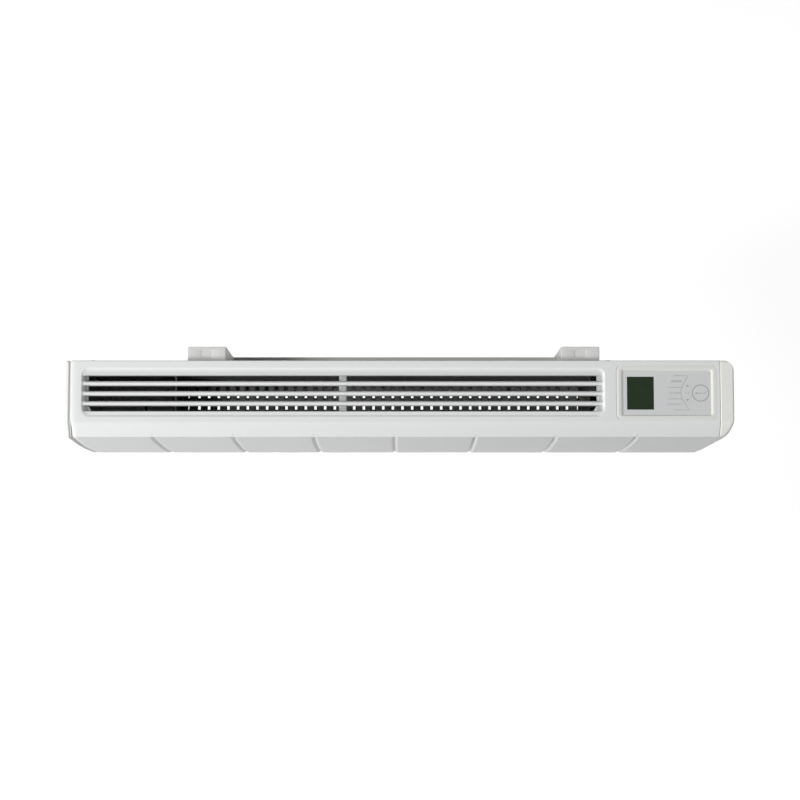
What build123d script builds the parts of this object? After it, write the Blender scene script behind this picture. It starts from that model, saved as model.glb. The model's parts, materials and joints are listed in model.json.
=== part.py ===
from build123d import *
from math import atan2, cos, sin, sqrt, tan
import os

# Low-level electric convector heater on its wall bracket.
# Millimetres. X runs along the wall to the right, Y runs back into the wall, Z is up.
# The origin is the centre of the four wall screw holes, on the wall's face.

# ---- driving dimensions -------------------------------------------------------------
casing_height = 200.0
top_z = 95.0                # flat top, above the centre of the wall holes
wall_gap = 16.0             # wall's face to the heater's back
top_depth = 61.7            # flat top, front to back
chamfer_depth = 13.3        # bright sloping band between the top and the fluted front
chamfer_drop = 8.9
front_bulge = 3.8           # the fluted front swells this much below the crease
front_return = 3.0          # and its foot stands this far ahead of the crease
corner_radius = 9.0         # bottom front corner
lip_depth = 12.0            # casing turned under at the bottom
moulding = 2.4              # plastic wall
sheet = 1.0                 # steel sheet
casing_left = -320.0
casing_right = 317.9
trim_left, trim_right = -325.1, -320.7   # thin plate that closes the left end
cap_left, cap_right = 318.3, 331.5      # deep cap that closes the right end
heater_x = 3.0              # the heater hangs this far right of the bracket's centre

flute_pitch = 79.5
flute_count = 8
groove_middle_x = -2.0
groove_width = 5.0
groove_depth = 2.0

slot_width = 4.8
slot_pitch = 9.87
slot_rows = 4
first_slot_from_rear = 17.5   # centre line of the rear slot, from the heater's back
recess_left, recess_right = -310.0, 205.0
recess_rear, recess_front = 6.9, 56.0
recess_corner = 8.0
recess_sink = 3.4
slot_groups = ((-302.6, -56.6), (-48.4, 196.8))

bracket_spacing = 371.0
hole_spacing_z = 100.0
wall_hole_radius = 2.75
arm_width = 38.0
arm_depth = 15.4
arm_steel = 1.5
arm_bottom_z = -75.0
cap_drop = 20.0             # bracket caps lie this far below the flat top
cap_thickness = 3.0
hook_z = 26.0
hook_half_width = 10.0
hook_rise = 14.0
body_gap = 0.3              # between pieces of different bodies that rest on each other

element_x = -14.0
element_length = 400.0
element_pitch = 10.0
element_y = -47.1
element_z = -15.0
inlet_middle_x = -14.7
inlet_pitch = 10.42
inlet_count = 43
inlet_rows = 4
inlet_width, inlet_depth = 2.6, 4.6
inlet_row_pitch = 12.5
rear_inlet_y = -32.4

key_gap = 0.1
film = 0.6                  # keypad film
film_sink = 1.2             # film's face below the flat top

# ---- worked out from them -----------------------------------------------------------
rear_y = -wall_gap
bottom_z = top_z - casing_height
crease_y = rear_y - top_depth - chamfer_depth
crease_z = top_z - chamfer_drop
panel_front_y = rear_y - sheet
inside_top_z = top_z - moulding
plate_thickness = 2.0
plate_top_z = bottom_z + plate_thickness
groove_xs = [groove_middle_x + flute_pitch * (i - flute_count / 2 + 1) for i in range(flute_count - 1)]
arm_xs = {"left": -bracket_spacing / 2, "right": bracket_spacing / 2}


# ---- small helpers ------------------------------------------------------------------
def block(x0, x1, y0, y1, z0, z1):
    """A box between two corners."""
    size = Box(abs(x1 - x0), abs(y1 - y0), abs(z1 - z0))
    return Pos((x0 + x1) / 2, (y0 + y1) / 2, (z0 + z1) / 2) * size


def rod(axis, radius, low, high, at):
    """A cylinder along X, Y or Z between two stations; at holds its other two places."""
    length = abs(high - low)
    middle = (low + high) / 2
    if axis == "X":
        return Pos(middle, at[0], at[1]) * Rot(0, 90, 0) * Cylinder(radius, length)
    if axis == "Y":
        return Pos(at[0], middle, at[1]) * Rot(90, 0, 0) * Cylinder(radius, length)
    return Pos(at[0], at[1], middle) * Cylinder(radius, length)


def prism(face, x0, x1):
    """Carries an outline drawn in the YZ plane from one X station to another."""
    return Pos(x0, 0, 0) * extrude(face, amount=x1 - x0)


def rounded_block(x0, x1, y0, y1, z0, z1, radius):
    """A box with its four upright edges rounded."""
    plan = RectangleRounded(abs(x1 - x0), abs(y1 - y0), radius)
    return Pos((x0 + x1) / 2, (y0 + y1) / 2, min(z0, z1)) * extrude(plan, amount=abs(z1 - z0))


def outline(inset=0.0):
    """Section of the casing, or the same moved inwards: flat top, chamfer, swelling front, round foot."""
    slope = atan2(chamfer_drop, chamfer_depth)
    rear, low, high = rear_y - inset, bottom_z + inset, top_z - inset
    brow = (rear_y - top_depth + inset * tan(slope / 2), high)
    crease = (crease_y + inset, crease_z - inset * cos(slope) / (1 + sin(slope)))
    belly = (crease_y - front_bulge + inset, (crease_z + bottom_z) / 2)
    radius = corner_radius - inset
    foot = (crease_y - front_return + inset, low + radius)
    turn = radius * (1 - sqrt(0.5))
    with BuildSketch(Plane.YZ) as section:
        with BuildLine():
            Polyline((foot[0] + radius, low), (rear, low), (rear, high), brow, crease)
            ThreePointArc(crease, belly, foot)
            ThreePointArc(foot, (foot[0] + turn, low + turn), (foot[0] + radius, low))
        make_face()
    return section.sketch.faces()[0]


def from_rear(distance):
    """Y of a place measured forward from the heater's back edge."""
    return rear_y - distance


def heater(shape):
    """Shifts a piece from the heater's own middle to where the heater hangs."""
    return Pos(heater_x, 0, 0) * shape


# ---- casing -------------------------------------------------------------------------
def front_casing():
    """Top, chamfer and fluted front in one moulding, with the outlet grille in its top."""
    section = outline()
    hollow = outline(moulding)
    shell = prism(section, casing_left, casing_right)
    shell -= prism(hollow, casing_left - 1, casing_right + 1)
    lip_y = crease_y - front_return + lip_depth
    shell -= block(casing_left - 1, casing_right + 1, lip_y, rear_y + 1, bottom_z - 1, bottom_z + 5)
    shell -= block(casing_left - 1, casing_right + 1, rear_y - 5, rear_y + 1, bottom_z - 1, inside_top_z)

    # thicker floor under the grille, then the recess, its round bars and the slots
    y_rear, y_front = from_rear(recess_rear), from_rear(recess_front)
    floor_z = top_z - recess_sink
    shell += block(recess_left - 3, recess_right + 3, y_rear + 3, y_front - 3, floor_z - moulding, inside_top_z)
    shell -= rounded_block(recess_left, recess_right, y_front, y_rear, floor_z, top_z + 1, recess_corner)
    bar_height = recess_sink - 0.6
    bar_radius = (slot_pitch - slot_width) / 2
    slots = []
    for row in range(slot_rows):
        slot_y = from_rear(first_slot_from_rear + row * slot_pitch)
        for x0, x1 in slot_groups:
            slots.append(block(x0, x1, slot_y - slot_width / 2, slot_y + slot_width / 2,
                               floor_z - moulding - 1, top_z))
        if row < slot_rows - 1:
            bar_y = slot_y - slot_pitch / 2
            bar_z = floor_z + bar_height - bar_radius
            bar = rod("X", bar_radius, recess_left, recess_right, (bar_y, bar_z))
            bar += block(recess_left, recess_right, bar_y - bar_radius, bar_y + bar_radius,
                         floor_z - moulding, bar_z)
            bar &= block(recess_left - 1, recess_right + 1, bar_y - 5, bar_y + 5, floor_z - moulding, top_z)
            shell += bar
    window = rounded_block(recess_left + 4, recess_right - 4, y_front + 4, y_rear - 4,
                           floor_z - 10, top_z + 1, recess_corner)
    for slot in slots:
        shell -= slot & window

    # opening for the control housing
    shell -= rounded_block(housing_left, housing_right, housing_front, housing_rear,
                           top_z - 10, top_z + 1, housing_corner)

    for x in groove_xs:
        shell -= Pos(x, 0, 0) * groove_cutter()

    # screw bosses for the back panel
    for x in top_boss_xs:
        boss = block(x - 4.5, x + 4.5, panel_front_y, panel_front_y - boss_depth, inside_top_z - 9, inside_top_z)
        shell += boss - rod("Y", screw_radius, panel_front_y, panel_front_y - boss_depth + 2,
                            (x, inside_top_z - 5))
    return shell


housing_left, housing_right = 215.5, 315.2
housing_rear, housing_front = from_rear(4.6), from_rear(58.4)
housing_corner = 6.0
top_boss_xs = (-300.0, -110.0, 110.0, 207.5)
bottom_boss_xs = (-300.0, -110.0, 110.0, 300.0)
boss_depth = 12.0
screw_radius = 1.4
screw_head = 0.7
end_screw_x = 307.0
end_screw_ys = (-35.0, -65.0)


def groove_cutter():
    """V groove between two flutes, following the front's curve from the crease to the floor."""
    foot_y = crease_y - front_return
    belly = (0, crease_y - front_bulge, (crease_z + bottom_z) / 2)
    front = ThreePointArc((0, crease_y, crease_z + 0.6), belly, (0, foot_y, bottom_z - 0.5))
    wedge = Polyline((-groove_width / 2 - 0.25, 0.2), (0, -groove_depth), (groove_width / 2 + 0.25, 0.2), close=True)
    start = Plane(origin=front @ 0, x_dir=(1, 0, 0), z_dir=front % 0)
    return sweep(start * make_face(wedge), path=front)


def left_side_trim():
    """Thin end plate with a locating rim that slips inside the casing, leaving a shadow gap."""
    plate = prism(outline(), trim_left, trim_right)
    rim = prism(outline(moulding + 0.2), trim_right, -316.0) - prism(outline(moulding + 2.2), trim_right, -316.0)
    rim -= block(-322, -315, crease_y - 20, rear_y, bottom_z, plate_top_z + 2.5)
    for y in end_screw_ys:
        plate += end_tab(trim_right, -302.0, y, -end_screw_x)
    return plate + rim


def end_tab(x0, x1, y, hole_x):
    """Foot of an end piece, screwed down to the floor plate."""
    tab = block(x0, x1, y - 4.5, y + 4.5, plate_top_z, plate_top_z + 6)
    return tab - rod("Z", screw_radius, plate_top_z, plate_top_z + 5, (hole_x, y))


def right_end_cap():
    """Deep end cap, hollow, with round rear and front corners and a cut-out for the switch."""
    x0, x1 = cap_left, cap_right
    rear_round = 8.0
    front_start_y = crease_y + 19.0
    with BuildSketch() as plan:
        with BuildLine():
            Line((x0, rear_y), (x1 - rear_round, rear_y))
            ThreePointArc((x1 - rear_round, rear_y),
                          (x1 - rear_round * (1 - 0.7071), rear_y - rear_round * (1 - 0.7071)),
                          (x1, rear_y - rear_round))
            Line((x1, rear_y - rear_round), (x1, front_start_y))
            ThreePointArc((x1, front_start_y), (328.6, crease_y + 8.0), (321.5, crease_y - 1.5))
            Line((321.5, crease_y - 1.5), (x0, crease_y - 3.0))
            Line((x0, crease_y - 3.0), (x0, rear_y))
        make_face()
    tower = Pos(0, 0, bottom_z - 1) * extrude(plan.sketch, amount=casing_height + 2)
    cap = prism(outline(), x0, x1) & tower
    cavity = prism(outline(moulding), x0 - 1, x1 - 2.6)
    cavity &= Pos(-2.6, 0, 0) * (block(x0 - 5, x0 + 2.6, rear_y, crease_y - 10, bottom_z, top_z) + tower)
    cap -= cavity
    cap -= block(x1 - 10, x1 + 1, switch_y - 6.5, switch_y + 6.5, switch_z - 9.7, switch_z + 9.7)
    for y in end_screw_ys:
        cap += end_tab(302.0, x1 - 2.6, y, end_screw_x)
    return cap


switch_y = -50.0
switch_z = -55.0


def back_panel():
    """Steel back with turned-in edges, two hook slots and screw holes."""
    low_z, high_z = plate_top_z, inside_top_z
    panel = block(casing_left, casing_right, rear_y, panel_front_y, low_z, high_z)
    for side, arm_x in arm_xs.items():
        x = arm_x - heater_x
        slot_top = hook_z + 2.0 + body_gap
        panel -= block(x - hook_half_width - 2, x + hook_half_width + 2, rear_y + 1, panel_front_y - 1,
                       slot_top - 17.0, slot_top)
    for x in top_boss_xs:
        panel -= rod("Y", screw_radius, rear_y + 1, panel_front_y - 1, (x, inside_top_z - 5))
    for x in bottom_boss_xs:
        panel -= rod("Y", screw_radius, rear_y + 1, panel_front_y - 1, (x, plate_top_z + 5))
    for x in bumper_xs:
        panel -= rod("Y", 2.5, rear_y + 1, panel_front_y - 1, (x, bumper_z))
    return panel


bumper_xs = (-280.0, 280.0)
bumper_z = -85.0


def bottom_grille():
    """Floor plate with rows of air inlet holes below the element, bosses and the cable hole."""
    lip_y = crease_y - front_return + lip_depth
    plate = block(casing_left, casing_right, lip_y, rear_y, bottom_z, plate_top_z)
    first_x = inlet_middle_x - inlet_pitch * (inlet_count - 1) / 2
    holes = []
    for row in range(inlet_rows):
        y = rear_inlet_y - inlet_row_pitch * row
        for i in range(inlet_count):
            x = first_x + i * inlet_pitch
            holes.append(block(x - inlet_width / 2, x + inlet_width / 2, y - inlet_depth / 2,
                               y + inlet_depth / 2, bottom_z - 1, plate_top_z + 1))
    plate -= Compound(children=holes)
    for x in bottom_boss_xs:
        boss = block(x - 4.5, x + 4.5, panel_front_y, panel_front_y - boss_depth, plate_top_z, plate_top_z + 10)
        plate += boss - rod("Y", screw_radius, panel_front_y, panel_front_y - boss_depth + 2, (x, plate_top_z + 5))
    plate -= rod("Z", gland_radius, bottom_z - 1, plate_top_z + 1, (gland_x, gland_y))
    for x in (-end_screw_x, end_screw_x):
        for y in end_screw_ys:
            plate -= rod("Z", screw_radius, bottom_z - 1, plate_top_z + 1, (x, y))
    return plate


gland_x, gland_y = 262.0, -48.0
gland_radius = 7.0
gland_bore = 4.25


def end_cap_screws():
    """Screws from below, through the floor plate into the feet of the end pieces."""
    return [rod("Z", screw_radius, bottom_z, plate_top_z + 4, (x, y))
            + rod("Z", 2.8, bottom_z - 1.5, bottom_z, (x, y))
            for x in (-end_screw_x, end_screw_x) for y in end_screw_ys]


def back_panel_screws():
    """Pan-head screws through the back panel into the bosses."""
    screws = []
    for x in top_boss_xs:
        z = inside_top_z - 5
        screws.append(rod("Y", screw_radius, rear_y, panel_front_y - 9, (x, z))
                      + rod("Y", 3.0, rear_y, rear_y + screw_head, (x, z)))
    for x in bottom_boss_xs:
        z = plate_top_z + 5
        screws.append(rod("Y", screw_radius, rear_y, panel_front_y - 9, (x, z))
                      + rod("Y", 3.0, rear_y, rear_y + screw_head, (x, z)))
    return screws


def wall_bumpers():
    """Rubber buffers at the foot of the back that keep the heater off the wall."""
    return [rod("Y", 2.5, rear_y - 2.5, rear_y, (x, bumper_z)) + rod("Y", 6.0, rear_y, -0.5, (x, bumper_z))
            for x in bumper_xs]


# ---- heating element ----------------------------------------------------------------
support_thickness = 1.2
left_support_x = element_x - element_length / 2 - 8
right_support_x = element_x + element_length / 2 + 8
bush_radius = 7.0
rod_radius = 2.8
core_radius = 3.6


def element_fins():
    """Aluminium extrusion with four wings in an X, cut across into tabs."""
    x0, x1 = element_x - element_length / 2, element_x + element_length / 2
    wings = block(x0, x1, -19, 19, -0.8, 0.8)
    cross = Rot(35, 0, 0) * wings + Rot(-35, 0, 0) * wings
    core = rod("X", core_radius, x0, x1, (0, 0))
    cuts = []
    count = int(element_length / element_pitch)
    for i in range(count - 1):
        x = x0 + (i + 1) * element_pitch
        cuts.append(block(x - 2.2, x + 2.2, -25, 25, -25, 25))
    body = (cross - Compound(children=cuts)) + core
    body -= rod("X", rod_radius, x0 - 1, x1 + 1, (0, 0))
    return Pos(0, element_y, element_z) * body


def element_rod():
    """Sheathed heating rod through the fins, held in a bush at each end."""
    return rod("X", rod_radius, left_support_x - 10, right_support_x + 10, (element_y, element_z))


def element_terminals():
    """Threaded terminal pin at each end of the rod."""
    pins = []
    for x0, x1 in ((left_support_x - 22, left_support_x - 10), (right_support_x + 10, right_support_x + 22)):
        pins.append(rod("X", 1.6, x0, x1, (element_y, element_z)))
    return pins


def element_bush(x):
    """Ceramic bush between the rod and its support."""
    bush = rod("X", bush_radius, x - 5, x + 5, (element_y, element_z))
    bush += rod("X", bush_radius + 2, x + 0.6, x + 2.6, (element_y, element_z))
    return bush - rod("X", rod_radius, x - 6, x + 6, (element_y, element_z))


def element_support(x):
    """Upright steel plate, with feet turned against the back panel, which carries a bush."""
    plate = block(x - support_thickness / 2, x + support_thickness / 2, panel_front_y, -74, -70, 45)
    foot = block(x - support_thickness / 2, x + 12, panel_front_y, panel_front_y - support_thickness, -70, 45)
    return plate + foot - rod("X", bush_radius, x - 3, x + 3, (element_y, element_z))


def heat_shield(y, low_z, high_z):
    """Bright sheet beside the element, with end tabs that reach the supports."""
    shield = block(left_support_x + 14, right_support_x - 1, y, y - 0.8, low_z, high_z)
    shield += block(left_support_x + support_thickness / 2, left_support_x + 15, y, y - 0.8, low_z + 20, high_z - 20)
    shield += block(right_support_x - 2, right_support_x - support_thickness / 2, y, y - 0.8, low_z + 20, high_z - 20)
    return shield


def thermal_cutout():
    """Round over-heat cut-out with two tags."""
    body = rod("X", 8.0, right_support_x + 1.6, right_support_x + 11, (element_y, 25))
    for y in (element_y - 4, element_y + 4):
        body += block(right_support_x + 11, right_support_x + 18, y - 1.5, y + 1.5, 24.6, 25.4)
    return body


def cutout_clip():
    """Spring plate that holds the cut-out on the support."""
    return block(right_support_x + 0.6, right_support_x + 1.6, element_y - 13, element_y + 13, 16, 34)


# ---- controls -----------------------------------------------------------------------
film_top_z = top_z - film_sink
film_low_z = film_top_z - film
tray_low_z = film_low_z - 1.8
pcb_top_z = top_z - 9.0
pcb_low_z = pcb_top_z - 1.6
film_x0, film_x1 = 222.9, 308.7
film_y0, film_y1 = from_rear(53.8), from_rear(10.2)
window_x0, window_x1 = 226.4, 252.8
window_y0, window_y1 = from_rear(48.5), from_rear(16.0)
enter_x, enter_y, enter_radius = 298.6, from_rear(32.1), 8.5
plunger_radius = 1.5

# outline of each key on the film, front to back and left to right, in the heater's own X and Y
key_outlines = {
    "key_mode": [(265.5, -42.1), (280.2, -42.1), (286.0, -31.3), (265.5, -31.3)],
    "key_clock": [(265.5, -53.6), (279.6, -53.6), (279.0, -47.9), (279.6, -42.7), (265.5, -42.7)],
    "key_advance": [(265.5, -64.3), (286.4, -64.3), (280.2, -54.2), (265.5, -54.2)],
    "key_up": [(283.4, -46.6), (289.2, -46.6), (289.2, -37.6), (285.0, -37.6)],
    "key_down": [(285.0, -58.6), (289.2, -58.6), (289.2, -49.6), (283.4, -49.6)],
}
key_centres = {
    "key_mode": (273.0, -36.7),
    "key_clock": (273.0, -48.1),
    "key_advance": (273.0, -59.2),
    "key_up": (286.4, -42.3),
    "key_down": (286.4, -53.9),
    "key_enter": (enter_x, enter_y),
}


def key_face(name, grow=0.0):
    """Plan outline of a key, grown for its hole in the film or the pocket below."""
    if name == "key_enter":
        return Pos(enter_x, enter_y) * Circle(enter_radius + grow)
    face = make_face(Polyline(*key_outlines[name], close=True))
    if grow:
        face = offset(face, amount=grow, kind=Kind.INTERSECTION)
    return face


def key_prism(name, grow, z0, z1):
    """A key's outline between two heights."""
    return Pos(0, 0, z0) * extrude(key_face(name, grow), amount=z1 - z0)


def key(name):
    """Film pad with the plunger below that presses its switch."""
    pad = key_prism(name, -key_gap, film_low_z, film_top_z)
    plunger = rod("Z", plunger_radius, top_z - 5.0, film_low_z + 0.1, key_centres[name])
    return pad + plunger


def control_housing():
    """Dished tray set in the casing's top; it carries the film, the display and the board."""
    tray = rounded_block(housing_left + 0.2, housing_right - 0.2, housing_front + 0.2, housing_rear - 0.2,
                         tray_low_z, top_z, housing_corner - 0.2)
    tray -= rounded_block(film_x0 - 2.4, film_x1 + 2.4, film_y0 - 2.4, film_y1 + 2.4,
                          film_top_z, top_z + 1, 3.5)
    tray -= rounded_block(film_x0, film_x1, film_y0, film_y1, film_low_z, top_z + 1, 1.5)
    tray -= block(window_x0, window_x1, window_y0, window_y1, tray_low_z - 1, film_low_z + 1)
    for name, centre in key_centres.items():
        tray -= key_prism(name, key_gap, film_low_z - 0.5, film_low_z + 0.5)
        tray -= rod("Z", plunger_radius + 0.3, tray_low_z - 1, film_low_z, centre)
    flange_z = inside_top_z
    flange = rounded_block(housing_left - 3, housing_right + 2, housing_front - 2.5, housing_rear + 1.5,
                           flange_z - 1.6, flange_z, housing_corner)
    flange -= rounded_block(housing_left + 3, housing_right - 3, housing_front + 3, housing_rear - 3,
                            flange_z - 3, flange_z + 1, 3.0)
    tray += flange
    for x, y in board_screws:
        tray += rod("Z", 3.0, pcb_top_z, tray_low_z + 0.1, (x, y))
        tray -= rod("Z", 1.2, pcb_top_z - 1, tray_low_z + 0.4, (x, y))
    return tray


board_screws = [(x, y) for x in (222.0, 309.0) for y in (-29.0, -67.0)]


def keypad_overlay():
    """Film with openings for the display and for the six pads."""
    sheet_solid = rounded_block(film_x0, film_x1, film_y0, film_y1, film_low_z, film_top_z, 1.5)
    sheet_solid -= block(window_x0, window_x1, window_y0, window_y1, film_low_z - 1, film_top_z + 1)
    for name in key_centres:
        sheet_solid -= key_prism(name, key_gap, film_low_z - 1, film_top_z + 1)
    return sheet_solid


def display_window():
    """Clear window over the display, flush with the film."""
    return block(window_x0, window_x1, window_y0, window_y1, film_low_z, film_top_z)


def lcd_module():
    """Display glass and its backing, standing on the board."""
    return block(window_x0 + 0.3, window_x1 - 0.3, window_y0 + 0.3, window_y1 - 0.3, pcb_top_z, film_low_z)


def control_pcb():
    """Board below the tray, held by four screws."""
    board = block(218.5, 312.5, -71.5, -25.0, pcb_low_z, pcb_top_z)
    for x, y in board_screws:
        board -= rod("Z", 1.2, pcb_low_z - 1, pcb_top_z + 1, (x, y))
    return board


def pcb_screws():
    """Screws from below into the tray's posts."""
    return [rod("Z", 1.2, pcb_low_z, pcb_top_z + 3.0, place) + rod("Z", 2.6, pcb_low_z - 1.8, pcb_low_z, place)
            for place in board_screws]


def tact_switches():
    """One small switch below each pad."""
    switches = []
    for x, y in key_centres.values():
        body = block(x - 3, x + 3, y - 3, y + 3, pcb_top_z, pcb_top_z + 2.4)
        switches.append(body + rod("Z", 1.5, pcb_top_z + 2.3, top_z - 5.6, (x, y)))
    return switches


def relay():
    """Relay under the board."""
    return block(270, 289, -62, -47, pcb_low_z - 15.5, pcb_low_z)


def suppressor_capacitor():
    """Mains capacitor under the board."""
    return block(240, 258, -45, -37, pcb_low_z - 14, pcb_low_z)


def board_connector():
    """Plug-in connector for the leads, under the board."""
    return block(232, 262, -66, -58, pcb_low_z - 10, pcb_low_z)


# ---- supply -------------------------------------------------------------------------
terminal_z = -60.0


def terminal_block():
    """Three-pole terminal block on the back panel."""
    body = block(238, 274, panel_front_y, panel_front_y - 16, terminal_z - 9, terminal_z + 9)
    for i in range(3):
        x = 244 + i * 12
        body -= rod("Z", 2.2, terminal_z - 10, terminal_z - 3, (x, panel_front_y - 9))
        body -= rod("Z", 2.2, terminal_z + 3, terminal_z + 10, (x, panel_front_y - 9))
    return body


def terminal_screws():
    """Clamp screws of the terminal block."""
    return [rod("Y", 2.0, panel_front_y - 17.2, panel_front_y - 16, (244 + i * 12, terminal_z)) for i in range(3)]


def cable_gland():
    """Screwed gland in the floor plate where the supply cable enters."""
    body = rod("Z", gland_radius, bottom_z - 3, plate_top_z + 8, (gland_x, gland_y))
    body += rod("Z", 10.0, plate_top_z, plate_top_z + 4, (gland_x, gland_y))
    body += Pos(gland_x, gland_y, bottom_z - 4.5) * Cylinder(9.0, 9.0)
    return body - rod("Z", gland_bore, bottom_z - 12, plate_top_z + 12, (gland_x, gland_y))


def cable_clamp():
    """Bar that clamps the cable against the back panel, above the gland."""
    return block(238, 272, panel_front_y, panel_front_y - 4, -88, -78)


def clamp_screws():
    """Two screws of the cable clamp."""
    return [rod("Y", 2.4, panel_front_y - 6, panel_front_y - 4, (x, -83)) for x in (243, 267)]


def earth_stud():
    """Earth stud with its nut on the back panel."""
    stud = rod("Y", 2.0, panel_front_y, panel_front_y - 12, (222, -60))
    nut = Pos(222, panel_front_y - 3, -60) * Rot(90, 0, 0) * extrude(RegularPolygon(4.0, 6), amount=1.5, both=True)
    return stud + nut


def room_sensor():
    """Bead sensor in the cool air at the foot of the front."""
    return rod("X", 2.5, 222, 242, (-72, -94))


def sensor_clip():
    """Clip that carries the room sensor on the floor plate."""
    clip = block(228, 236, -77, -67, plate_top_z, -89.5)
    return clip - rod("X", 2.5, 220, 244, (-72, -94))


def lead(points, radius):
    """Round insulated lead along straight runs joined by arcs."""
    path = FilletPolyline(*points, radius=6.0)
    start = Plane(origin=path @ 0, z_dir=path % 0)
    return sweep(start * Circle(radius), path=path)


def element_lead_right():
    """Lead from the element's right end up to the board's connector."""
    x = right_support_x + 22
    return lead([(x, element_y, element_z), (x + 22, element_y, element_z), (x + 22, -62, 20),
                 (250, -62, 45), (250, -62, pcb_low_z - 10)], 1.5)


def element_lead_left():
    """Lead from the element's left end, below the element, to the terminal block."""
    x = left_support_x - 22
    run_y = -82.0
    return lead([(x, element_y, element_z), (x - 16, element_y, element_z), (x - 16, run_y, -60),
                 (x + 20, run_y, -84), (200, run_y, -84), (230, -60, -76), (244, -40, -80),
                 (244, panel_front_y - 9, terminal_z - 9)], 1.5)


# ---- switch -------------------------------------------------------------------------
pivot_x = 330.0
rocker_tilt = 8.0
pin_radius = 1.0
pin_play = 0.06


def switch_housing():
    """Frame and body of the mains rocker switch, in the end cap's side."""
    body = block(318.8, 331.5, switch_y - 6.4, switch_y + 6.4, switch_z - 9.6, switch_z + 9.6)
    body += block(331.5, 332.5, switch_y - 7.6, switch_y + 7.6, switch_z - 10.8, switch_z + 10.8)
    body -= block(322.5, 335, switch_y - 5.4, switch_y + 5.4, switch_z - 8.8, switch_z + 8.8)
    body -= rod("Y", pin_radius + pin_play, switch_y - 6.4, switch_y + 6.4, (pivot_x, switch_z))
    return body


def rocker():
    """Rocker with pivot pins, resting with its lower half pressed in."""
    paddle = block(pivot_x - 3, pivot_x + 3.4, switch_y - 5.1, switch_y + 5.1, switch_z - 8.0, switch_z + 8.0)
    dish = rod("Y", 60.0, switch_y - 6, switch_y + 6, (pivot_x + 62.6, switch_z))
    paddle -= dish
    paddle += rod("Y", pin_radius, switch_y - 6.3, switch_y + 6.3, (pivot_x, switch_z))
    hinge = Pos(pivot_x, 0, switch_z)
    return hinge * Rot(0, rocker_tilt, 0) * hinge.inverse() * paddle


# ---- wall bracket -------------------------------------------------------------------
arm_top_z = top_z - cap_drop - cap_thickness
bar_low_z, bar_high_z = -45.0, -19.0
rivet_zs = (-38.0, -26.0)


def bracket_arm(x):
    """Pressed channel screwed to the wall, with a strap and hook for the heater."""
    half = arm_width / 2
    arm = block(x - half, x + half, -arm_depth, 0, arm_bottom_z, arm_top_z)
    arm -= block(x - half + arm_steel, x + half - arm_steel, -arm_depth - 1, -arm_steel,
                 arm_bottom_z - 1, arm_top_z + 1)
    arm += block(x - half, x + half, -arm_depth, -arm_depth + arm_steel, hook_z - 4, hook_z + 18)
    hook = block(x - hook_half_width, x + hook_half_width, -arm_depth - 6, -arm_depth + 1, hook_z, hook_z + 2)
    hook += block(x - hook_half_width, x + hook_half_width, -arm_depth - 6, -arm_depth - 4.5,
                  hook_z, hook_z + hook_rise)
    arm += hook
    for sign in (-1, 1):
        arm -= rod("Y", wall_hole_radius, -4, 1, (x, sign * hole_spacing_z / 2))
    for z in rivet_zs:
        inner_x = x - half if x > 0 else x + half
        arm -= rod("X", 2.0, inner_x - 3, inner_x + 3, (-8, z))
    return arm


def bracket_cap(x):
    """Plastic cap that closes the top of an arm, with a shallow rectangle sunk in it."""
    half = arm_width / 2
    cap = rounded_block(x - half, x + half, -arm_depth, 0, arm_top_z, arm_top_z + cap_thickness, 1.6)
    plug = block(x - half + arm_steel, x + half - arm_steel, -arm_depth + 0.6, -arm_steel, arm_top_z - 7, arm_top_z)
    mark = block(x - 5.5, x + 5.5, -11.0, -3.5, arm_top_z + cap_thickness - 0.6, arm_top_z + cap_thickness + 1)
    return cap + plug - mark


def bracket_bar():
    """Cross bar against the wall, its ends turned forward and riveted to the arms."""
    x0 = arm_xs["left"] + arm_width / 2
    x1 = arm_xs["right"] - arm_width / 2
    bar = block(x0, x1, -6, 0, bar_low_z, bar_high_z)
    bar -= block(x0 - 1, x1 + 1, -7, -arm_steel, bar_low_z + arm_steel, bar_high_z - arm_steel)
    for x_outer, x_inner in ((x0, x0 + arm_steel), (x1, x1 - arm_steel)):
        bar += block(x_outer, x_inner, -13, 0, bar_low_z, bar_high_z)
        for z in rivet_zs:
            bar -= rod("X", 2.0, x_outer - 3, x_outer + 3, (-8, z))
    return bar


def bracket_rivets():
    """Rivets between the bar and the arms."""
    rivets = []
    for x, inward in ((arm_xs["left"] + arm_width / 2, 1), (arm_xs["right"] - arm_width / 2, -1)):
        for z in rivet_zs:
            rivet = rod("X", 2.0, x - arm_steel, x + arm_steel, (-8, z))
            rivet += rod("X", 3.4, x + inward * arm_steel, x + inward * (arm_steel + 1.2), (-8, z))
            rivet += rod("X", 3.4, x - inward * arm_steel, x - inward * (arm_steel + 1.2), (-8, z))
            rivets.append(rivet)
    return rivets


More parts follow.
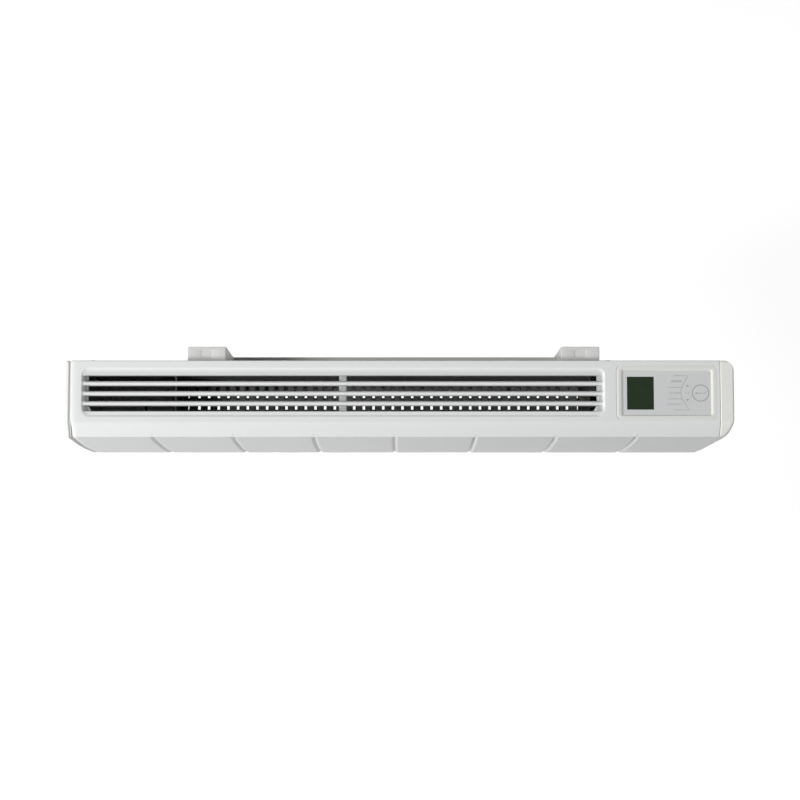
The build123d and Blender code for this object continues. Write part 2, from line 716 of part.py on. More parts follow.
# ---- assembly -----------------------------------------------------------------------
heater_parts = {
    "front_casing": front_casing(),
    "left_side_trim": left_side_trim(),
    "right_end_cap": right_end_cap(),
    "back_panel": back_panel(),
    "bottom_grille": bottom_grille(),
    "end_cap_screws": end_cap_screws(),
    "back_panel_screws": back_panel_screws(),
    "wall_bumpers": wall_bumpers(),
    "element_fins": element_fins(),
    "element_rod": element_rod(),
    "element_terminals": element_terminals(),
    "element_bush_left": element_bush(left_support_x),
    "element_bush_right": element_bush(right_support_x),
    "element_support_left": element_support(left_support_x),
    "element_support_right": element_support(right_support_x),
    "front_heat_shield": heat_shield(-72.0, -70, 40),
    "rear_heat_shield": heat_shield(-25.0, -70, 40),
    "thermal_cutout": thermal_cutout(),
    "cutout_clip": cutout_clip(),
    "control_housing": control_housing(),
    "keypad_overlay": keypad_overlay(),
    "display_window": display_window(),
    "lcd_module": lcd_module(),
    "control_pcb": control_pcb(),
    "pcb_screws": pcb_screws(),
    "tact_switches": tact_switches(),
    "relay": relay(),
    "suppressor_capacitor": suppressor_capacitor(),
    "board_connector": board_connector(),
    "terminal_block": terminal_block(),
    "terminal_screws": terminal_screws(),
    "cable_gland": cable_gland(),
    "cable_clamp": cable_clamp(),
    "clamp_screws": clamp_screws(),
    "earth_stud": earth_stud(),
    "room_sensor": room_sensor(),
    "sensor_clip": sensor_clip(),
    "element_lead_right": element_lead_right(),
    "element_lead_left": element_lead_left(),
    "switch_housing": switch_housing(),
    "rocker": rocker(),
}
for name in key_centres:
    heater_parts[name] = key(name)

bracket_parts = {"bracket_bar": bracket_bar(), "bracket_rivets": bracket_rivets()}
for side, x in arm_xs.items():
    bracket_parts[f"bracket_arm_{side}"] = bracket_arm(x)
    bracket_parts[f"bracket_cap_{side}"] = bracket_cap(x)

parts = {}
os.makedirs("parts", exist_ok=True)
for name, shape in heater_parts.items():
    solids = shape if isinstance(shape, list) else [shape]
    parts[name] = [heater(solid) for solid in solids]
for name, shape in bracket_parts.items():
    parts[name] = shape if isinstance(shape, list) else [shape]
for name, shapes in parts.items():
    bodies = [body for shape in shapes for body in shape.solids()]
    whole = bodies[0] if len(bodies) == 1 else Compound(children=bodies)
    export_step(whole, f"parts/{name}.step")
    print(name, len(bodies))
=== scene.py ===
import json
from math import pi, radians, tan

import bmesh
import bpy
import numpy as np
from bpy.props import FloatProperty, FloatVectorProperty, PointerProperty
from bpy.types import Operator, Panel, PropertyGroup
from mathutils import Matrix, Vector


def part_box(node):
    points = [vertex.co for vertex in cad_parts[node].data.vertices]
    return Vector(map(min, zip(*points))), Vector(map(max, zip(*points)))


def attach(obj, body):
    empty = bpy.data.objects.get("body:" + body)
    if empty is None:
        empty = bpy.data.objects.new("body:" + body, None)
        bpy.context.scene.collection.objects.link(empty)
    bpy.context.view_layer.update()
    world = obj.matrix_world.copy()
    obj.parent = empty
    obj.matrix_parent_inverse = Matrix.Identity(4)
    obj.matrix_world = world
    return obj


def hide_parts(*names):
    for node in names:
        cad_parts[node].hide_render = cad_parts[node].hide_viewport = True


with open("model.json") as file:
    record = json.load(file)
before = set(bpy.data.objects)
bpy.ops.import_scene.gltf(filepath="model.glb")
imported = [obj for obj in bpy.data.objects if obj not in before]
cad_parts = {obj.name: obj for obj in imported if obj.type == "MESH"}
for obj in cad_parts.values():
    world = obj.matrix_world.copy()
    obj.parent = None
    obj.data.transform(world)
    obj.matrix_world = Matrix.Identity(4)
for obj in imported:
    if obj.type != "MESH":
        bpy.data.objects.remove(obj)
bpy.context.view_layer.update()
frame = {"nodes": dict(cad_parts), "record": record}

bl_info = {
    "name": "Wall-hung convector heater",
    "version": (1, 0, 0),
    "blender": (4, 5, 0),
    "location": "3D View > Sidebar > Heater",
    "description": "Finished surfaces, materials and a stage for a low wall-hung convector heater",
    "category": "Object",
}

MM = 0.001


# ---- places read from the frame, in millimetres ----------------------------------------
def node_box(node):
    """Lowest and highest corner of a CAD node, in millimetres."""
    low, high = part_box(node)
    return np.array(low) / MM, np.array(high) / MM


CASING_LOW, CASING_HIGH = node_box("front_casing")
CASING_LEFT = -320.0
CASING_RIGHT = CASING_LEFT + CASING_HIGH[0] - CASING_LOW[0]
HEATER_X = CASING_LOW[0] - CASING_LEFT
REAR_Y = CASING_HIGH[1]
TOP_Z = CASING_HIGH[2]
BOTTOM_Z = CASING_LOW[2]
FILM_LOW, FILM_HIGH = node_box("keypad_overlay")
FILM_LOW[0] -= HEATER_X
FILM_HIGH[0] -= HEATER_X


# ---- settings --------------------------------------------------------------------------
def length(name, description, default):
    """A length setting in millimetres."""
    return FloatProperty(name=name, description=description, default=default, min=0.0)


def colour(name, description, default):
    """A linear colour setting."""
    return FloatVectorProperty(name=name, description=description, default=default, size=3,
                               subtype="COLOR", min=0.0, max=1.0)


def metres(name, description, default):
    """A distance setting of the stage, in metres."""
    return FloatProperty(name=name, description=description, default=default, unit="LENGTH")


def watts(name, description, default):
    """A light's power setting."""
    return FloatProperty(name=name, description=description, default=default, unit="POWER")


class HeaterSizes(PropertyGroup):
    """Sizes of the finished surfaces, in millimetres."""
    top_depth: length("Top depth", "Flat top, front to back", 61.7)
    chamfer_depth: length("Chamfer depth", "Sloping band, front to back", 13.3)
    chamfer_drop: length("Chamfer drop", "Height that the band falls", 8.9)
    front_bulge: length("Front bulge", "Swell of the fluted front below the crease", 3.7)
    front_return: length("Foot forward", "How far the foot stands ahead of the crease", 3.0)
    foot_radius: length("Foot radius", "Round foot of the front", 9.0)
    lip_depth: length("Lip", "Casing turned under at the foot", 12.0)
    brow_radius: length("Brow radius", "Softness of the edge between top and chamfer", 3.0)
    crease_radius: length("Crease radius", "Softness of the edge between chamfer and front", 1.2)
    wall: length("Wall", "Thickness of the mouldings", 2.4)
    edge_radius: length("Edge radius", "Softness of the mouldings' free edges", 0.9)
    groove_pitch: length("Flute pitch", "Distance between grooves", 79.5)
    groove_depth: length("Groove depth", "Depth of the V grooves", 2.0)
    groove_half: length("Groove half width", "Half the width of the V grooves", 2.5)
    slot_width: length("Slot width", "Opening between two grille bars", 4.8)
    slot_pitch: length("Slot pitch", "Distance between slots", 9.87)
    first_slot: length("First slot", "Rear slot's centre line from the back edge", 17.5)
    recess_sink: length("Valley depth", "Depth of the grille's valleys below the top", 5.5)
    ledge_sink: length("Bar depth", "Depth of the bars' crests below the top", 1.0)
    ledge_rim: length("Bar rim", "Width of the slope down to the bars' level", 2.6)
    valley_rim: length("Valley rim", "Width of the slope down to the valleys", 7.0)


class HeaterColours(PropertyGroup):
    """Linear colours of the finishes."""
    casing: colour("Casing", "Cool white moulding", (0.80, 0.81, 0.81))
    trim: colour("Trim", "Warmer white moulding", (0.86, 0.86, 0.82))
    film: colour("Film", "Silver-grey keypad film", (0.68, 0.693, 0.697))
    print_ink: colour("Print", "Grey ink on the film", (0.36, 0.37, 0.36))
    display: colour("Display", "Dark green display", (0.029, 0.046, 0.025))
    bracket: colour("Bracket", "Light grey paint", (0.80, 0.80, 0.76))
    bracket_cap: colour("Bracket caps", "Light grey plastic", (0.76, 0.76, 0.745))


class HeaterStage(PropertyGroup):
    """Floor, lights and camera."""
    camera_height: metres("Camera height", "Camera above the heater's flat top", 2.0224)
    camera_forward: metres("Camera forward", "Camera in front of the wall", 0.2417)
    camera_side: metres("Camera side", "Camera to the right of the bracket's centre", 0.0064)
    camera_tilt: FloatProperty(name="Camera tilt", default=0.092, subtype="ANGLE",
                               description="Turn away from straight down, towards the wall")
    lens: FloatProperty(name="Lens", description="Focal length in millimetres on a 36 mm sensor",
                        default=93.13, subtype="DISTANCE_CAMERA")
    floor_drop: metres("Floor drop", "Floor below the heater's foot", 1.3)
    floor_glow: FloatProperty(name="Floor glow", default=0.40, description="Light given off by the pale floor")
    main_power: watts("Main power", "Large softbox high on the left", 398.0)
    top_power: watts("Top power", "Softbox overhead", 8.6)
    side_power: watts("Side power", "Small softbox low at the left front", 4.9)
    front_power: watts("Front power", "Softbox high in front", 15.0)
    right_power: watts("Right power", "Small low softbox on the right", 10.0)
    sky: FloatProperty(name="Sky", description="Strength of the even light from all round", default=0.0)


# ---- meshes ----------------------------------------------------------------------------
def put_mesh(name, points, faces, material, shift=HEATER_X, sharp=35.0, mend=True, painted_shade=0.0):
    """Makes an object from points in millimetres and lists of point numbers.

    The points are moved by shift along X and scaled to metres, so that the object stays at the origin.
    mend turns all faces of a closed shape outwards. Edges sharper than sharp degrees stay sharp.
    The painted shade amount is stored on every point, for the finishes that darken by it.
    """
    points = (np.asarray(points, float) + (shift, 0.0, 0.0)) * MM
    mesh = bpy.data.meshes.new(name)
    mesh.from_pydata(points.tolist(), [], faces)
    mesh.update()
    if mend:
        work = bmesh.new()
        work.from_mesh(mesh)
        bmesh.ops.remove_doubles(work, verts=work.verts, dist=1e-7)
        bmesh.ops.recalc_face_normals(work, faces=work.faces)
        work.to_mesh(mesh)
        work.free()
    mesh.polygons.foreach_set("use_smooth", np.ones(len(mesh.polygons), bool))
    mesh.set_sharp_from_angle(angle=radians(sharp))
    # painted shade amount on every point, zero unless a piece is given one
    painted_shade_layer = mesh.attributes.new("painted_shade", "FLOAT", "POINT")
    painted_shade_layer.data.foreach_set("value", np.full(len(mesh.vertices), painted_shade))
    for each in material if isinstance(material, (list, tuple)) else (material,):
        mesh.materials.append(each)
    piece = bpy.data.objects.new(name, mesh)
    bpy.context.scene.collection.objects.link(piece)
    return piece


def cells(rows, columns, keep=None, closed=False):
    """Quads of a grid of points stored row after row.

    keep masks cells, and closed joins the last column to the first.
    """
    wide = columns if closed else columns - 1
    i, j = np.meshgrid(np.arange(rows - 1), np.arange(wide), indexing="ij")
    after = (j + 1) % columns
    this_row, next_row = i * columns, (i + 1) * columns
    quads = np.stack((this_row + j, this_row + after, next_row + after, next_row + j), -1)
    if keep is None:
        keep = np.ones(i.shape, bool)
    return quads[keep]


def stack(rings, cap_first=True, cap_last=True):
    """Points and faces of a shape whose skin runs through equal closed rings, with flat ends where wanted."""
    rings = np.asarray(rings, float)
    count, around = rings.shape[:2]
    faces = cells(count, around, closed=True).tolist()
    if cap_first:
        faces.append(list(range(around))[::-1])
    if cap_last:
        faces.append(list(range((count - 1) * around, count * around)))
    return rings.reshape(-1, 3), faces


def join(shapes):
    """Several (points, faces) pairs as one pair."""
    points, faces, start = [], [], 0
    for some_points, some_faces in shapes:
        points.append(np.asarray(some_points, float))
        faces += [[corner + start for corner in face] for face in some_faces]
        start += len(some_points)
    return np.concatenate(points), faces


def rounded_rect(x0, x1, y0, y1, radius, steps=8):
    """Closed outline of a rectangle with round corners: a quarter circle of points at each corner."""
    turn = np.linspace(0, pi / 2, steps)
    middles = ((x1 - radius, y1 - radius, 0), (x0 + radius, y1 - radius, pi / 2),
               (x0 + radius, y0 + radius, pi), (x1 - radius, y0 + radius, 3 * pi / 2))
    rounds = [(cx + radius * np.cos(turn + start), cy + radius * np.sin(turn + start))
              for cx, cy, start in middles]
    return np.concatenate([np.stack(each, 1) for each in rounds])


def level(outline, z):
    """A plan outline at one height."""
    return np.column_stack((outline, np.full(len(outline), z)))


def slab(outline, z0, z1):
    """A plan outline given thickness."""
    return stack([level(outline, z0), level(outline, z1)])


def stroke(path, width, z0, z1, closed=False):
    """Flat line along a plan path: offset half its width to both sides, with a hair's thickness.

    Width may change from point to point, so that a line can fade to nothing.
    """
    path = np.asarray(path, float)
    width = np.broadcast_to(np.asarray(width, float), len(path))
    if closed:
        along = np.roll(path, -1, 0) - np.roll(path, 1, 0)
    else:
        along = np.gradient(path, axis=0)
    along /= np.linalg.norm(along, axis=1)[:, None]
    side = np.stack((-along[:, 1], along[:, 0]), 1) * width[:, None] / 2
    left, right = path + side, path - side
    sections = np.stack((level(left, z1), level(right, z1), level(right, z0), level(left, z0)), 1)
    if closed:
        sections = np.concatenate((sections, sections[:1]))
    return stack(sections, not closed, not closed)


def smooth_step(value):
    """0 below 0, 1 above 1, and an S curve between."""
    value = np.clip(value, 0, 1)
    return value * value * (3 - 2 * value)


def rect_distance(x, y, x0, x1, y0, y1, radius):
    """Signed distance to a rectangle with round corners: below 0 inside."""
    across = np.abs(x - (x0 + x1) / 2) - (x1 - x0) / 2 + radius
    along = np.abs(y - (y0 + y1) / 2) - (y1 - y0) / 2 + radius
    outside = np.hypot(np.maximum(across, 0), np.maximum(along, 0))
    return outside + np.minimum(np.maximum(across, along), 0) - radius


def arc(corner, before, after, radius, steps):
    """Points of the round that replaces a corner: a circle tangent to the runs from before and to after."""
    corner, before, after = (np.asarray(p, float) for p in (corner, before, after))
    back = (before - corner) / np.linalg.norm(before - corner)
    on = (after - corner) / np.linalg.norm(after - corner)
    half = np.arccos(np.clip(back @ on, -1, 1)) / 2
    reach = radius / tan(half)
    middle = corner + (back + on) / np.linalg.norm(back + on) * radius / np.sin(half)
    start, end = corner + back * reach - middle, corner + on * reach - middle
    sweep = pi - 2 * half
    t = np.linspace(0, 1, steps)[:, None]
    return middle + (np.sin((1 - t) * sweep) * start + np.sin(t * sweep) * end) / np.sin(sweep)


# ---- the casing's section --------------------------------------------------------------
def corners(sizes):
    """Brow, crease and foot of the casing's section, in Y and Z."""
    brow = np.array((REAR_Y - sizes.top_depth, TOP_Z))
    crease = brow - (sizes.chamfer_depth, sizes.chamfer_drop)
    foot = np.array((crease[0] - sizes.front_return, BOTTOM_Z))
    return brow, crease, foot


def front_y(z, sizes):
    """Y of the front at a height: a parabola that swells below the crease, upright above it."""
    _, crease, foot = corners(sizes)
    low = BOTTOM_Z + sizes.foot_radius
    share = np.clip((crease[1] - z) / (crease[1] - low), 0, 1)
    swell = 4 * (sizes.front_bulge - sizes.front_return / 2)
    return crease[0] - sizes.front_return * share - swell * share * (1 - share)


def top_rows(sizes):
    """Y of the flat top's rows, from the back edge forwards: close together where the grille's bars curve."""
    bars = []
    half_slot, bar = sizes.slot_width / 2, sizes.slot_pitch - sizes.slot_width
    spread = (1 - np.cos(np.linspace(0, pi, 11))) / 2
    for row in range(4):
        centre = sizes.first_slot + row * sizes.slot_pitch
        bars += [centre - half_slot, centre + half_slot]
        if row < 3:
            bars += list(centre + half_slot + bar * spread[1:-1])
    bars += list(sizes.first_slot - half_slot - bar * spread[1:6])
    bars += list(sizes.first_slot + 3 * sizes.slot_pitch + half_slot + bar * spread[1:6])
    rims = list(np.linspace(RECESS_REAR - 0.3, RECESS_REAR + sizes.ledge_rim + 0.3, 9))
    rims += list(np.linspace(RECESS_FRONT + 0.3, RECESS_FRONT - sizes.ledge_rim - 0.3, 9))
    steps = (0, 0.12, 0.25, 0.38, 0.5, 1.2, 2.4)
    tray = [TRAY_REAR + e for e in steps] + [TRAY_FRONT - e for e in steps]
    rows = np.unique(np.round(bars + rims + tray + [1.4, 2.5, 59.4], 4))
    exact = np.isin(rows, np.round(bars, 4))
    return REAR_Y - rows[exact | np.concatenate(([True], np.diff(rows) > 0.08))]


def casing_section(sizes):
    """Y and Z of the outer skin's rows, from the back edge over the top and down the front to the lip.

    Straight runs joined by arcs; the front is the parabola of front_y.
    """
    brow, crease, foot = corners(sizes)
    edge = sizes.edge_radius
    back = arc((REAR_Y, TOP_Z), (REAR_Y, TOP_Z - 9), (REAR_Y - 9, TOP_Z), edge, 5)
    top = np.array([(y, TOP_Z) for y in top_rows(sizes)])
    brow_round = arc(brow, brow + (9, 0), crease, sizes.brow_radius, 7)
    crease_round = arc(crease, brow, crease - (0.6, 9), sizes.crease_radius, 6)
    chamfer = brow_round[-1] + np.linspace(0, 1, 6)[1:-1, None] * (crease_round[0] - brow_round[-1])
    heights = np.linspace(crease_round[-1][1], BOTTOM_Z + sizes.foot_radius, 34)[1:-1]
    front = np.stack((front_y(heights, sizes), heights), 1)
    foot_round = arc(foot, foot + (0, 30), foot + (30, 0), sizes.foot_radius, 9)
    lip = np.array([(foot[0] + sizes.lip_depth, BOTTOM_Z)])
    start = np.array([(REAR_Y, TOP_Z - sizes.wall)])
    return np.concatenate((start, back, top, brow_round, chamfer, crease_round, front, foot_round, lip))


RECESS_LEFT, RECESS_RIGHT = -310.0, 205.0
RECESS_REAR, RECESS_FRONT = 6.9, 56.0
RECESS_CORNER = 8.0
SLOT_GROUPS = ((-302.6, -56.6), (-48.4, 196.8))
TRAY_LEFT, TRAY_RIGHT = 215.5, 315.2
TRAY_REAR, TRAY_FRONT = 4.6, 58.4
TRAY_CORNER = 6.0
TRAY_OPENING = 2.2
TRAY_SEAT = 1.3
BAR_POWER, LEDGE_POWER = 3.3, 7.0
# share of painted shade on the grille's rear ledge
LEDGE_PAINTED_SHADE = 0.26


def groove_places(sizes):
    """X of the seven grooves between the eight flutes."""
    return -2.0 + sizes.groove_pitch * np.arange(-3, 4)


def casing_columns(sizes):
    """X of the casing's columns: close together at its ends, the recess's ends, the tray and the grooves."""
    xs = [CASING_LEFT + e for e in (0, 0.12, 0.4, 0.9)] + [CASING_RIGHT - e for e in (0, 0.12, 0.4, 0.9)]
    for end, inward in ((RECESS_LEFT, 1), (RECESS_RIGHT, -1)):
        xs += list(end + inward * np.linspace(-0.3, 6.2, 15)) + [end + inward * e for e in (8.0, 10.0, 13.0)]
    for x0, x1 in SLOT_GROUPS:
        xs += [x0, x1, x0 + 1.2, x0 + 2.4, x0 + 3.6, x0 + 5.0, x1 - 1.2, x1 - 2.4, x1 - 3.6, x1 - 5.0]
        xs += list(np.linspace(x0, x1, 14))
    xs += [-52.5, -54.5, -50.5]
    for end, inward in ((TRAY_LEFT, 1), (TRAY_RIGHT, -1)):
        xs += [end + inward * e for e in (-0.2, 0, 0.12, 0.2, 0.28, 0.36, 0.5, 1.0, 1.7, 2.2, 3.2, 4.5, 6.0)]
    for x in groove_places(sizes):
        half = sizes.groove_half
        xs += [x + half * s for s in (-1.6, -1.25, -1.08, -0.92, -0.75, -0.4, -0.12, 0,
                                      0.12, 0.4, 0.75, 0.92, 1.08, 1.25, 1.6)]
    xs += list(np.linspace(CASING_LEFT + 6, CASING_RIGHT - 6, 26))
    xs = np.unique(np.round(xs, 4))
    keep = np.concatenate(([True], np.diff(xs) > 0.05))
    exact = np.isin(xs, np.round([e for pair in SLOT_GROUPS for e in pair], 4))
    return xs[keep | exact]


def bar_rows(y, sizes):
    """Y of the first bar's crest, and the number of the bar that each Y belongs to: -1 and 3 are the ledges."""
    first_bar = REAR_Y - sizes.first_slot - sizes.slot_pitch / 2
    return first_bar, np.clip(np.round((first_bar - y) / sizes.slot_pitch), -1, 3)


def grille_sink(x, y, sizes):
    """How far the top lies below flat: the grille's recess plus the seat of the control tray.

    The recess has two levels, each reached over its own sloping rim: the crests of the round bars, and the
    valleys between them. Across a bar the sink is the distance from its crest raised to a power. The ledges
    behind the first slot and in front of the last are half bars with a higher power, so nearly flat.
    """
    rear, front = REAR_Y - RECESS_REAR, REAR_Y - RECESS_FRONT
    inside = -rect_distance(x, y, RECESS_LEFT, RECESS_RIGHT, front, rear, RECESS_CORNER)
    bar = sizes.slot_pitch - sizes.slot_width
    first_bar, row = bar_rows(y, sizes)
    across = (y - first_bar + row * sizes.slot_pitch) / (bar / 2)
    across = np.where((row == -1) & (across > 0), 0, across)
    across = np.where((row == 3) & (across < 0), across * 0.35, across)
    valley = np.clip(np.abs(across), 0, 1) ** np.where((row == -1) | (row == 3), LEDGE_POWER, BAR_POWER)
    to_crest = smooth_step(inside / sizes.ledge_rim)
    to_valley = smooth_step((inside - 0.4) / sizes.valley_rim)
    sink = sizes.ledge_sink * to_crest + (sizes.recess_sink - sizes.ledge_sink) * valley * to_valley
    rear, front = REAR_Y - TRAY_REAR, REAR_Y - TRAY_FRONT
    in_tray = -rect_distance(x, y, TRAY_LEFT, TRAY_RIGHT, front, rear, TRAY_CORNER)
    return sink + TRAY_SEAT * smooth_step((in_tray - 0.12) / 0.38)


def valley_painted_shade(x, y, sizes):
    """How much painted shade the grille gets: full in the valleys beyond the slots' ends, a quarter on the rear
    ledge. It darkens the colour where these hollows lie in shadow.

    Each edge of a shaded patch is an S curve over one to three millimetres. Elsewhere there is none.
    """
    first_bar, row = bar_rows(y, sizes)
    across = np.abs(y - first_bar + row * sizes.slot_pitch) / (sizes.slot_pitch / 2)
    beyond = np.min([np.maximum(x0 - x, x - x1) for x0, x1 in SLOT_GROUPS], axis=0)
    inside = np.minimum(x - RECESS_LEFT, RECESS_RIGHT - x)
    behind_first, ahead_of_last = 7.8, 27.5
    in_rows = (y < first_bar + behind_first) & (y > first_bar - ahead_of_last)
    valleys = smooth_step((across - 0.25) / 0.3) * smooth_step(beyond / 1.2 + 1) * in_rows
    ledge = LEDGE_PAINTED_SHADE * smooth_step((REAR_Y - RECESS_REAR - 2.4 - y) / 3) * (y > first_bar + 7)
    return np.maximum(valleys, ledge) * smooth_step((inside - 1.5) / 3)


def groove_cut(x, sizes):
    """How far the V grooves cut back at each X: straight flanks whose lip is softened by a hyperbola."""
    nearest = np.min(np.abs(x[..., None] - groove_places(sizes)), axis=-1)
    share = 1 - nearest / sizes.groove_half
    softness, full_depth = 0.012, 1.003
    return sizes.groove_depth * (share + np.sqrt(share ** 2 + softness)) / 2 / full_depth


def make_casing(sizes, finish, inner):
    """Front casing: the section carried along X.

    It is sunk at the grille and cut at the grooves, and its cells at the slots and the tray are left out.
    """
    section = casing_section(sizes)
    xs = casing_columns(sizes)
    x, y = np.meshgrid(xs, section[:, 0])
    z = np.meshgrid(xs, section[:, 1])[1]
    on_top = z > TOP_Z - 1e-6
    z = z - np.where(on_top, grille_sink(x, y, sizes), 0)
    # the grooves grow out of the crease over a short run
    crease_z = corners(sizes)[1][1]
    fade = smooth_step((crease_z + 0.3 - z) / 1.6)
    cut = front_y(z, sizes) + groove_cut(x, sizes) * fade
    on_front = z < TOP_Z - sizes.brow_radius
    on_front &= y < REAR_Y - sizes.top_depth
    y = np.where(on_front, np.maximum(y, cut), y)
    # soft ends: the last columns turn in by a quarter circle
    from_end = np.minimum(x - CASING_LEFT, CASING_RIGHT - x)
    edge = np.where(x < 0, sizes.edge_radius, sizes.edge_radius * 0.5)
    turn_in = edge - np.sqrt(np.clip(edge ** 2 - np.clip(edge - from_end, 0, edge) ** 2, 0, None))
    z = z - np.where(on_top | (z > BOTTOM_Z + 150), turn_in, 0) * (section[:, 1] > BOTTOM_Z + 1)[:, None]
    y = y + np.where(on_front, turn_in, 0)
    # the left end draws back a little along the chamfer, so that its gap opens there
    on_chamfer = smooth_step((REAR_Y - sizes.top_depth + 4 - y) / 9)
    x = x + 1.1 * on_chamfer * np.clip(1 - (x - CASING_LEFT) / 12, 0, 1) * (z > BOTTOM_Z + 30)
    # the front slot's outer corners are cut off at a slant
    last_slot = sizes.first_slot + 3 * sizes.slot_pitch - sizes.slot_width / 2
    slant_rows = (REAR_Y - y - last_slot) / sizes.slot_width
    slant = 3.0 * np.clip(slant_rows, 0, 1) * (slant_rows < 1.9) * on_top
    near_left = smooth_step(1 - np.abs(x - SLOT_GROUPS[0][0]) / 9)
    near_right = smooth_step(1 - np.abs(x - SLOT_GROUPS[1][1]) / 9)
    x = x + slant * (near_left - near_right)
    # cells left out: the slots and the tray's opening
    mid_x = (xs[1:] + xs[:-1]) / 2
    mid_y = REAR_Y - (section[1:, 0] + section[:-1, 0]) / 2
    top_cell = (section[1:, 1] > TOP_Z - 1e-6) & (section[:-1, 1] > TOP_Z - 1e-6)
    in_group = np.zeros(len(mid_x), bool)
    for x0, x1 in SLOT_GROUPS:
        in_group |= (mid_x > x0) & (mid_x < x1)
    row = np.clip(np.round((mid_y - sizes.first_slot) / sizes.slot_pitch), 0, 3)
    in_slot = np.abs(mid_y - sizes.first_slot - row * sizes.slot_pitch) < sizes.slot_width / 2
    open_cell = (in_slot & top_cell)[:, None] & in_group[None, :]
    in_tray_x = (mid_x > TRAY_LEFT + TRAY_OPENING) & (mid_x < TRAY_RIGHT - TRAY_OPENING)
    in_tray_y = (mid_y > TRAY_REAR + TRAY_OPENING) & (mid_y < TRAY_FRONT - TRAY_OPENING) & top_cell
    open_cell |= in_tray_y[:, None] & in_tray_x[None, :]
    points = np.stack((x, y, z), -1).reshape(-1, 3)
    faces = cells(len(section), len(xs), ~open_cell)[:, ::-1]
    piece = put_mesh("casing_skin", points, faces.tolist(), [finish, inner], mend=False, sharp=38)
    # painted shade in the grille's valleys and on its rear ledge, where these hollows lie in shadow
    painted_shade = valley_painted_shade(x, y, sizes) * on_top
    piece.data.attributes["painted_shade"].data.foreach_set("value", painted_shade.ravel().astype(float))
    wall = piece.modifiers.new("wall", "SOLIDIFY")
    wall.thickness = sizes.wall * MM
    wall.offset = -1
    # the inner face takes the near-black inner finish: assumed black paint, and also painted shade of the
    # casing's closed interior
    wall.material_offset = 1
    wall.material_offset_rim = 0
    drop_loose(piece)
    return piece


def drop_loose(piece):
    """Removes points that no face uses."""
    work = bmesh.new()
    work.from_mesh(piece.data)
    bmesh.ops.delete(work, geom=[v for v in work.verts if not v.link_faces], context="VERTS")
    work.to_mesh(piece.data)
    work.free()


# ---- end pieces ------------------------------------------------------------------------
def end_outline(sizes, inset):
    """Closed section of an end piece, moved inwards along its normals by inset.

    It is the casing's section, closed along the floor and the back.
    """
    section = casing_section(sizes)
    keep = np.concatenate(([True], np.hypot(*np.diff(section, axis=0).T) > 0.45))
    ring = section[keep]
    ring = np.concatenate((ring, [(REAR_Y - 1.0, BOTTOM_Z), (REAR_Y, BOTTOM_Z + 1.0)]))
    along = np.roll(ring, -1, 0) - np.roll(ring, 1, 0)
    along /= np.linalg.norm(along, axis=1)[:, None]
    inward = np.stack((-along[:, 1], along[:, 0]), 1)
    if np.sum((ring - ring.mean(0)) * inward) > 0:
        inward = -inward
    return ring + inward * inset


def put_ring(x, outline):
    """A section outline in Y and Z at one X."""
    return np.column_stack((np.full(len(outline), x), outline))


def round_over(x, step, radius, section, count=7):
    """Rings of an edge's quarter circle: step runs into the piece from x, and the inset shrinks from radius."""
    turn = np.linspace(0, pi / 2, count)
    return [section(x + step * radius * (1 - np.cos(a)), radius * (1 - np.sin(a))) for a in turn]


def make_left_trim(sizes, finish):
    """Thin end plate: its section, inset by a quarter circle at both faces, and a rim inside the casing."""
    outer_x, inner_x, rim_x = -325.1, -320.7, -316.5
    edge, tongue_inset = 2.1, 0.8
    rim_inset = sizes.wall + 0.4

    def ring(x, inset):
        """Section at one X, moved inwards."""
        return put_ring(x, end_outline(sizes, inset))

    plate = stack(round_over(outer_x, 1, edge, ring) + round_over(inner_x, -1, edge, ring)[::-1])
    rim = stack([ring(inner_x - 0.5, rim_inset), ring(rim_x, rim_inset)])
    tongue = stack([ring(inner_x - 0.1, tongue_inset), ring(CASING_LEFT - 0.05, tongue_inset)])
    # the whole trim is a tenth darker in painted shade than the right cap of the same trim white
    return put_mesh("left_trim_skin", *join([plate, rim, tongue]), finish, painted_shade=1.0)


def make_right_cap(sizes, finish):
    """Deep end cap: the section, cut in plan by a rear round and a long front curve, with soft edges.

    The outer face has a rectangular hole with round corners for the switch, joined ring to ring.
    """
    x0, x1 = 318.3, 331.5
    rear_round, front_round, straight_end = 10.5, 26.0, -71.5

    def plan_limits(x):
        """Rearmost and foremost Y at one X, on the plan's two rounds."""
        into = np.clip(x - (x1 - rear_round), 0, rear_round)
        rear = REAR_Y - rear_round + np.sqrt(rear_round ** 2 - into ** 2)
        into = np.clip(x - (x1 - front_round), 0, front_round)
        return rear, straight_end - np.sqrt(front_round ** 2 - into ** 2)

    def ring(x, inset):
        """Section at one X, moved inwards and kept between the plan's limits."""
        outline = end_outline(sizes, inset)
        rear, front = plan_limits(x)
        outline[:, 0] = np.clip(outline[:, 0], front, rear)
        return put_ring(x, outline)

    edge, seam = 1.8, 0.9
    rings = round_over(x0, 1, seam, ring)
    rings += [ring(x, 0) for x in np.linspace(x0 + seam + 0.5, x1 - edge, 9)]
    rings += round_over(x1, -1, edge, ring)[::-1]
    outer = rings[-1]
    switch_low, switch_high = node_box("switch_housing")
    middle = (switch_low[1:] + switch_high[1:]) / 2
    half_hole = np.array((6.5, 9.7))
    away = outer[:, 1:] - middle
    hole = middle + away / np.max(np.abs(away) / half_hole, axis=1)[:, None]
    # through the hole, flat along the outer wall's inside, and back to the seam
    inside_x, wall_inset, seam_inset = x1 - 2.6, 4.4, 3.3
    inner_wall = ring(inside_x, wall_inset)
    inner_wall[:, 0] = inside_x
    rings += [put_ring(x1, hole), put_ring(inside_x, hole), inner_wall]
    rings += [ring(x1 - 2.7, wall_inset), ring(x0 + 0.9, seam_inset)]
    rings.append(rings[0])
    shell = stack(rings, False, False)
    tongue_section = end_outline(sizes, 0.55)
    tongue = stack([put_ring(CASING_RIGHT + 0.05, tongue_section), put_ring(x0 + 0.1, tongue_section)])
    return put_mesh("right_cap_skin", *join([shell, tongue]), finish, sharp=50)


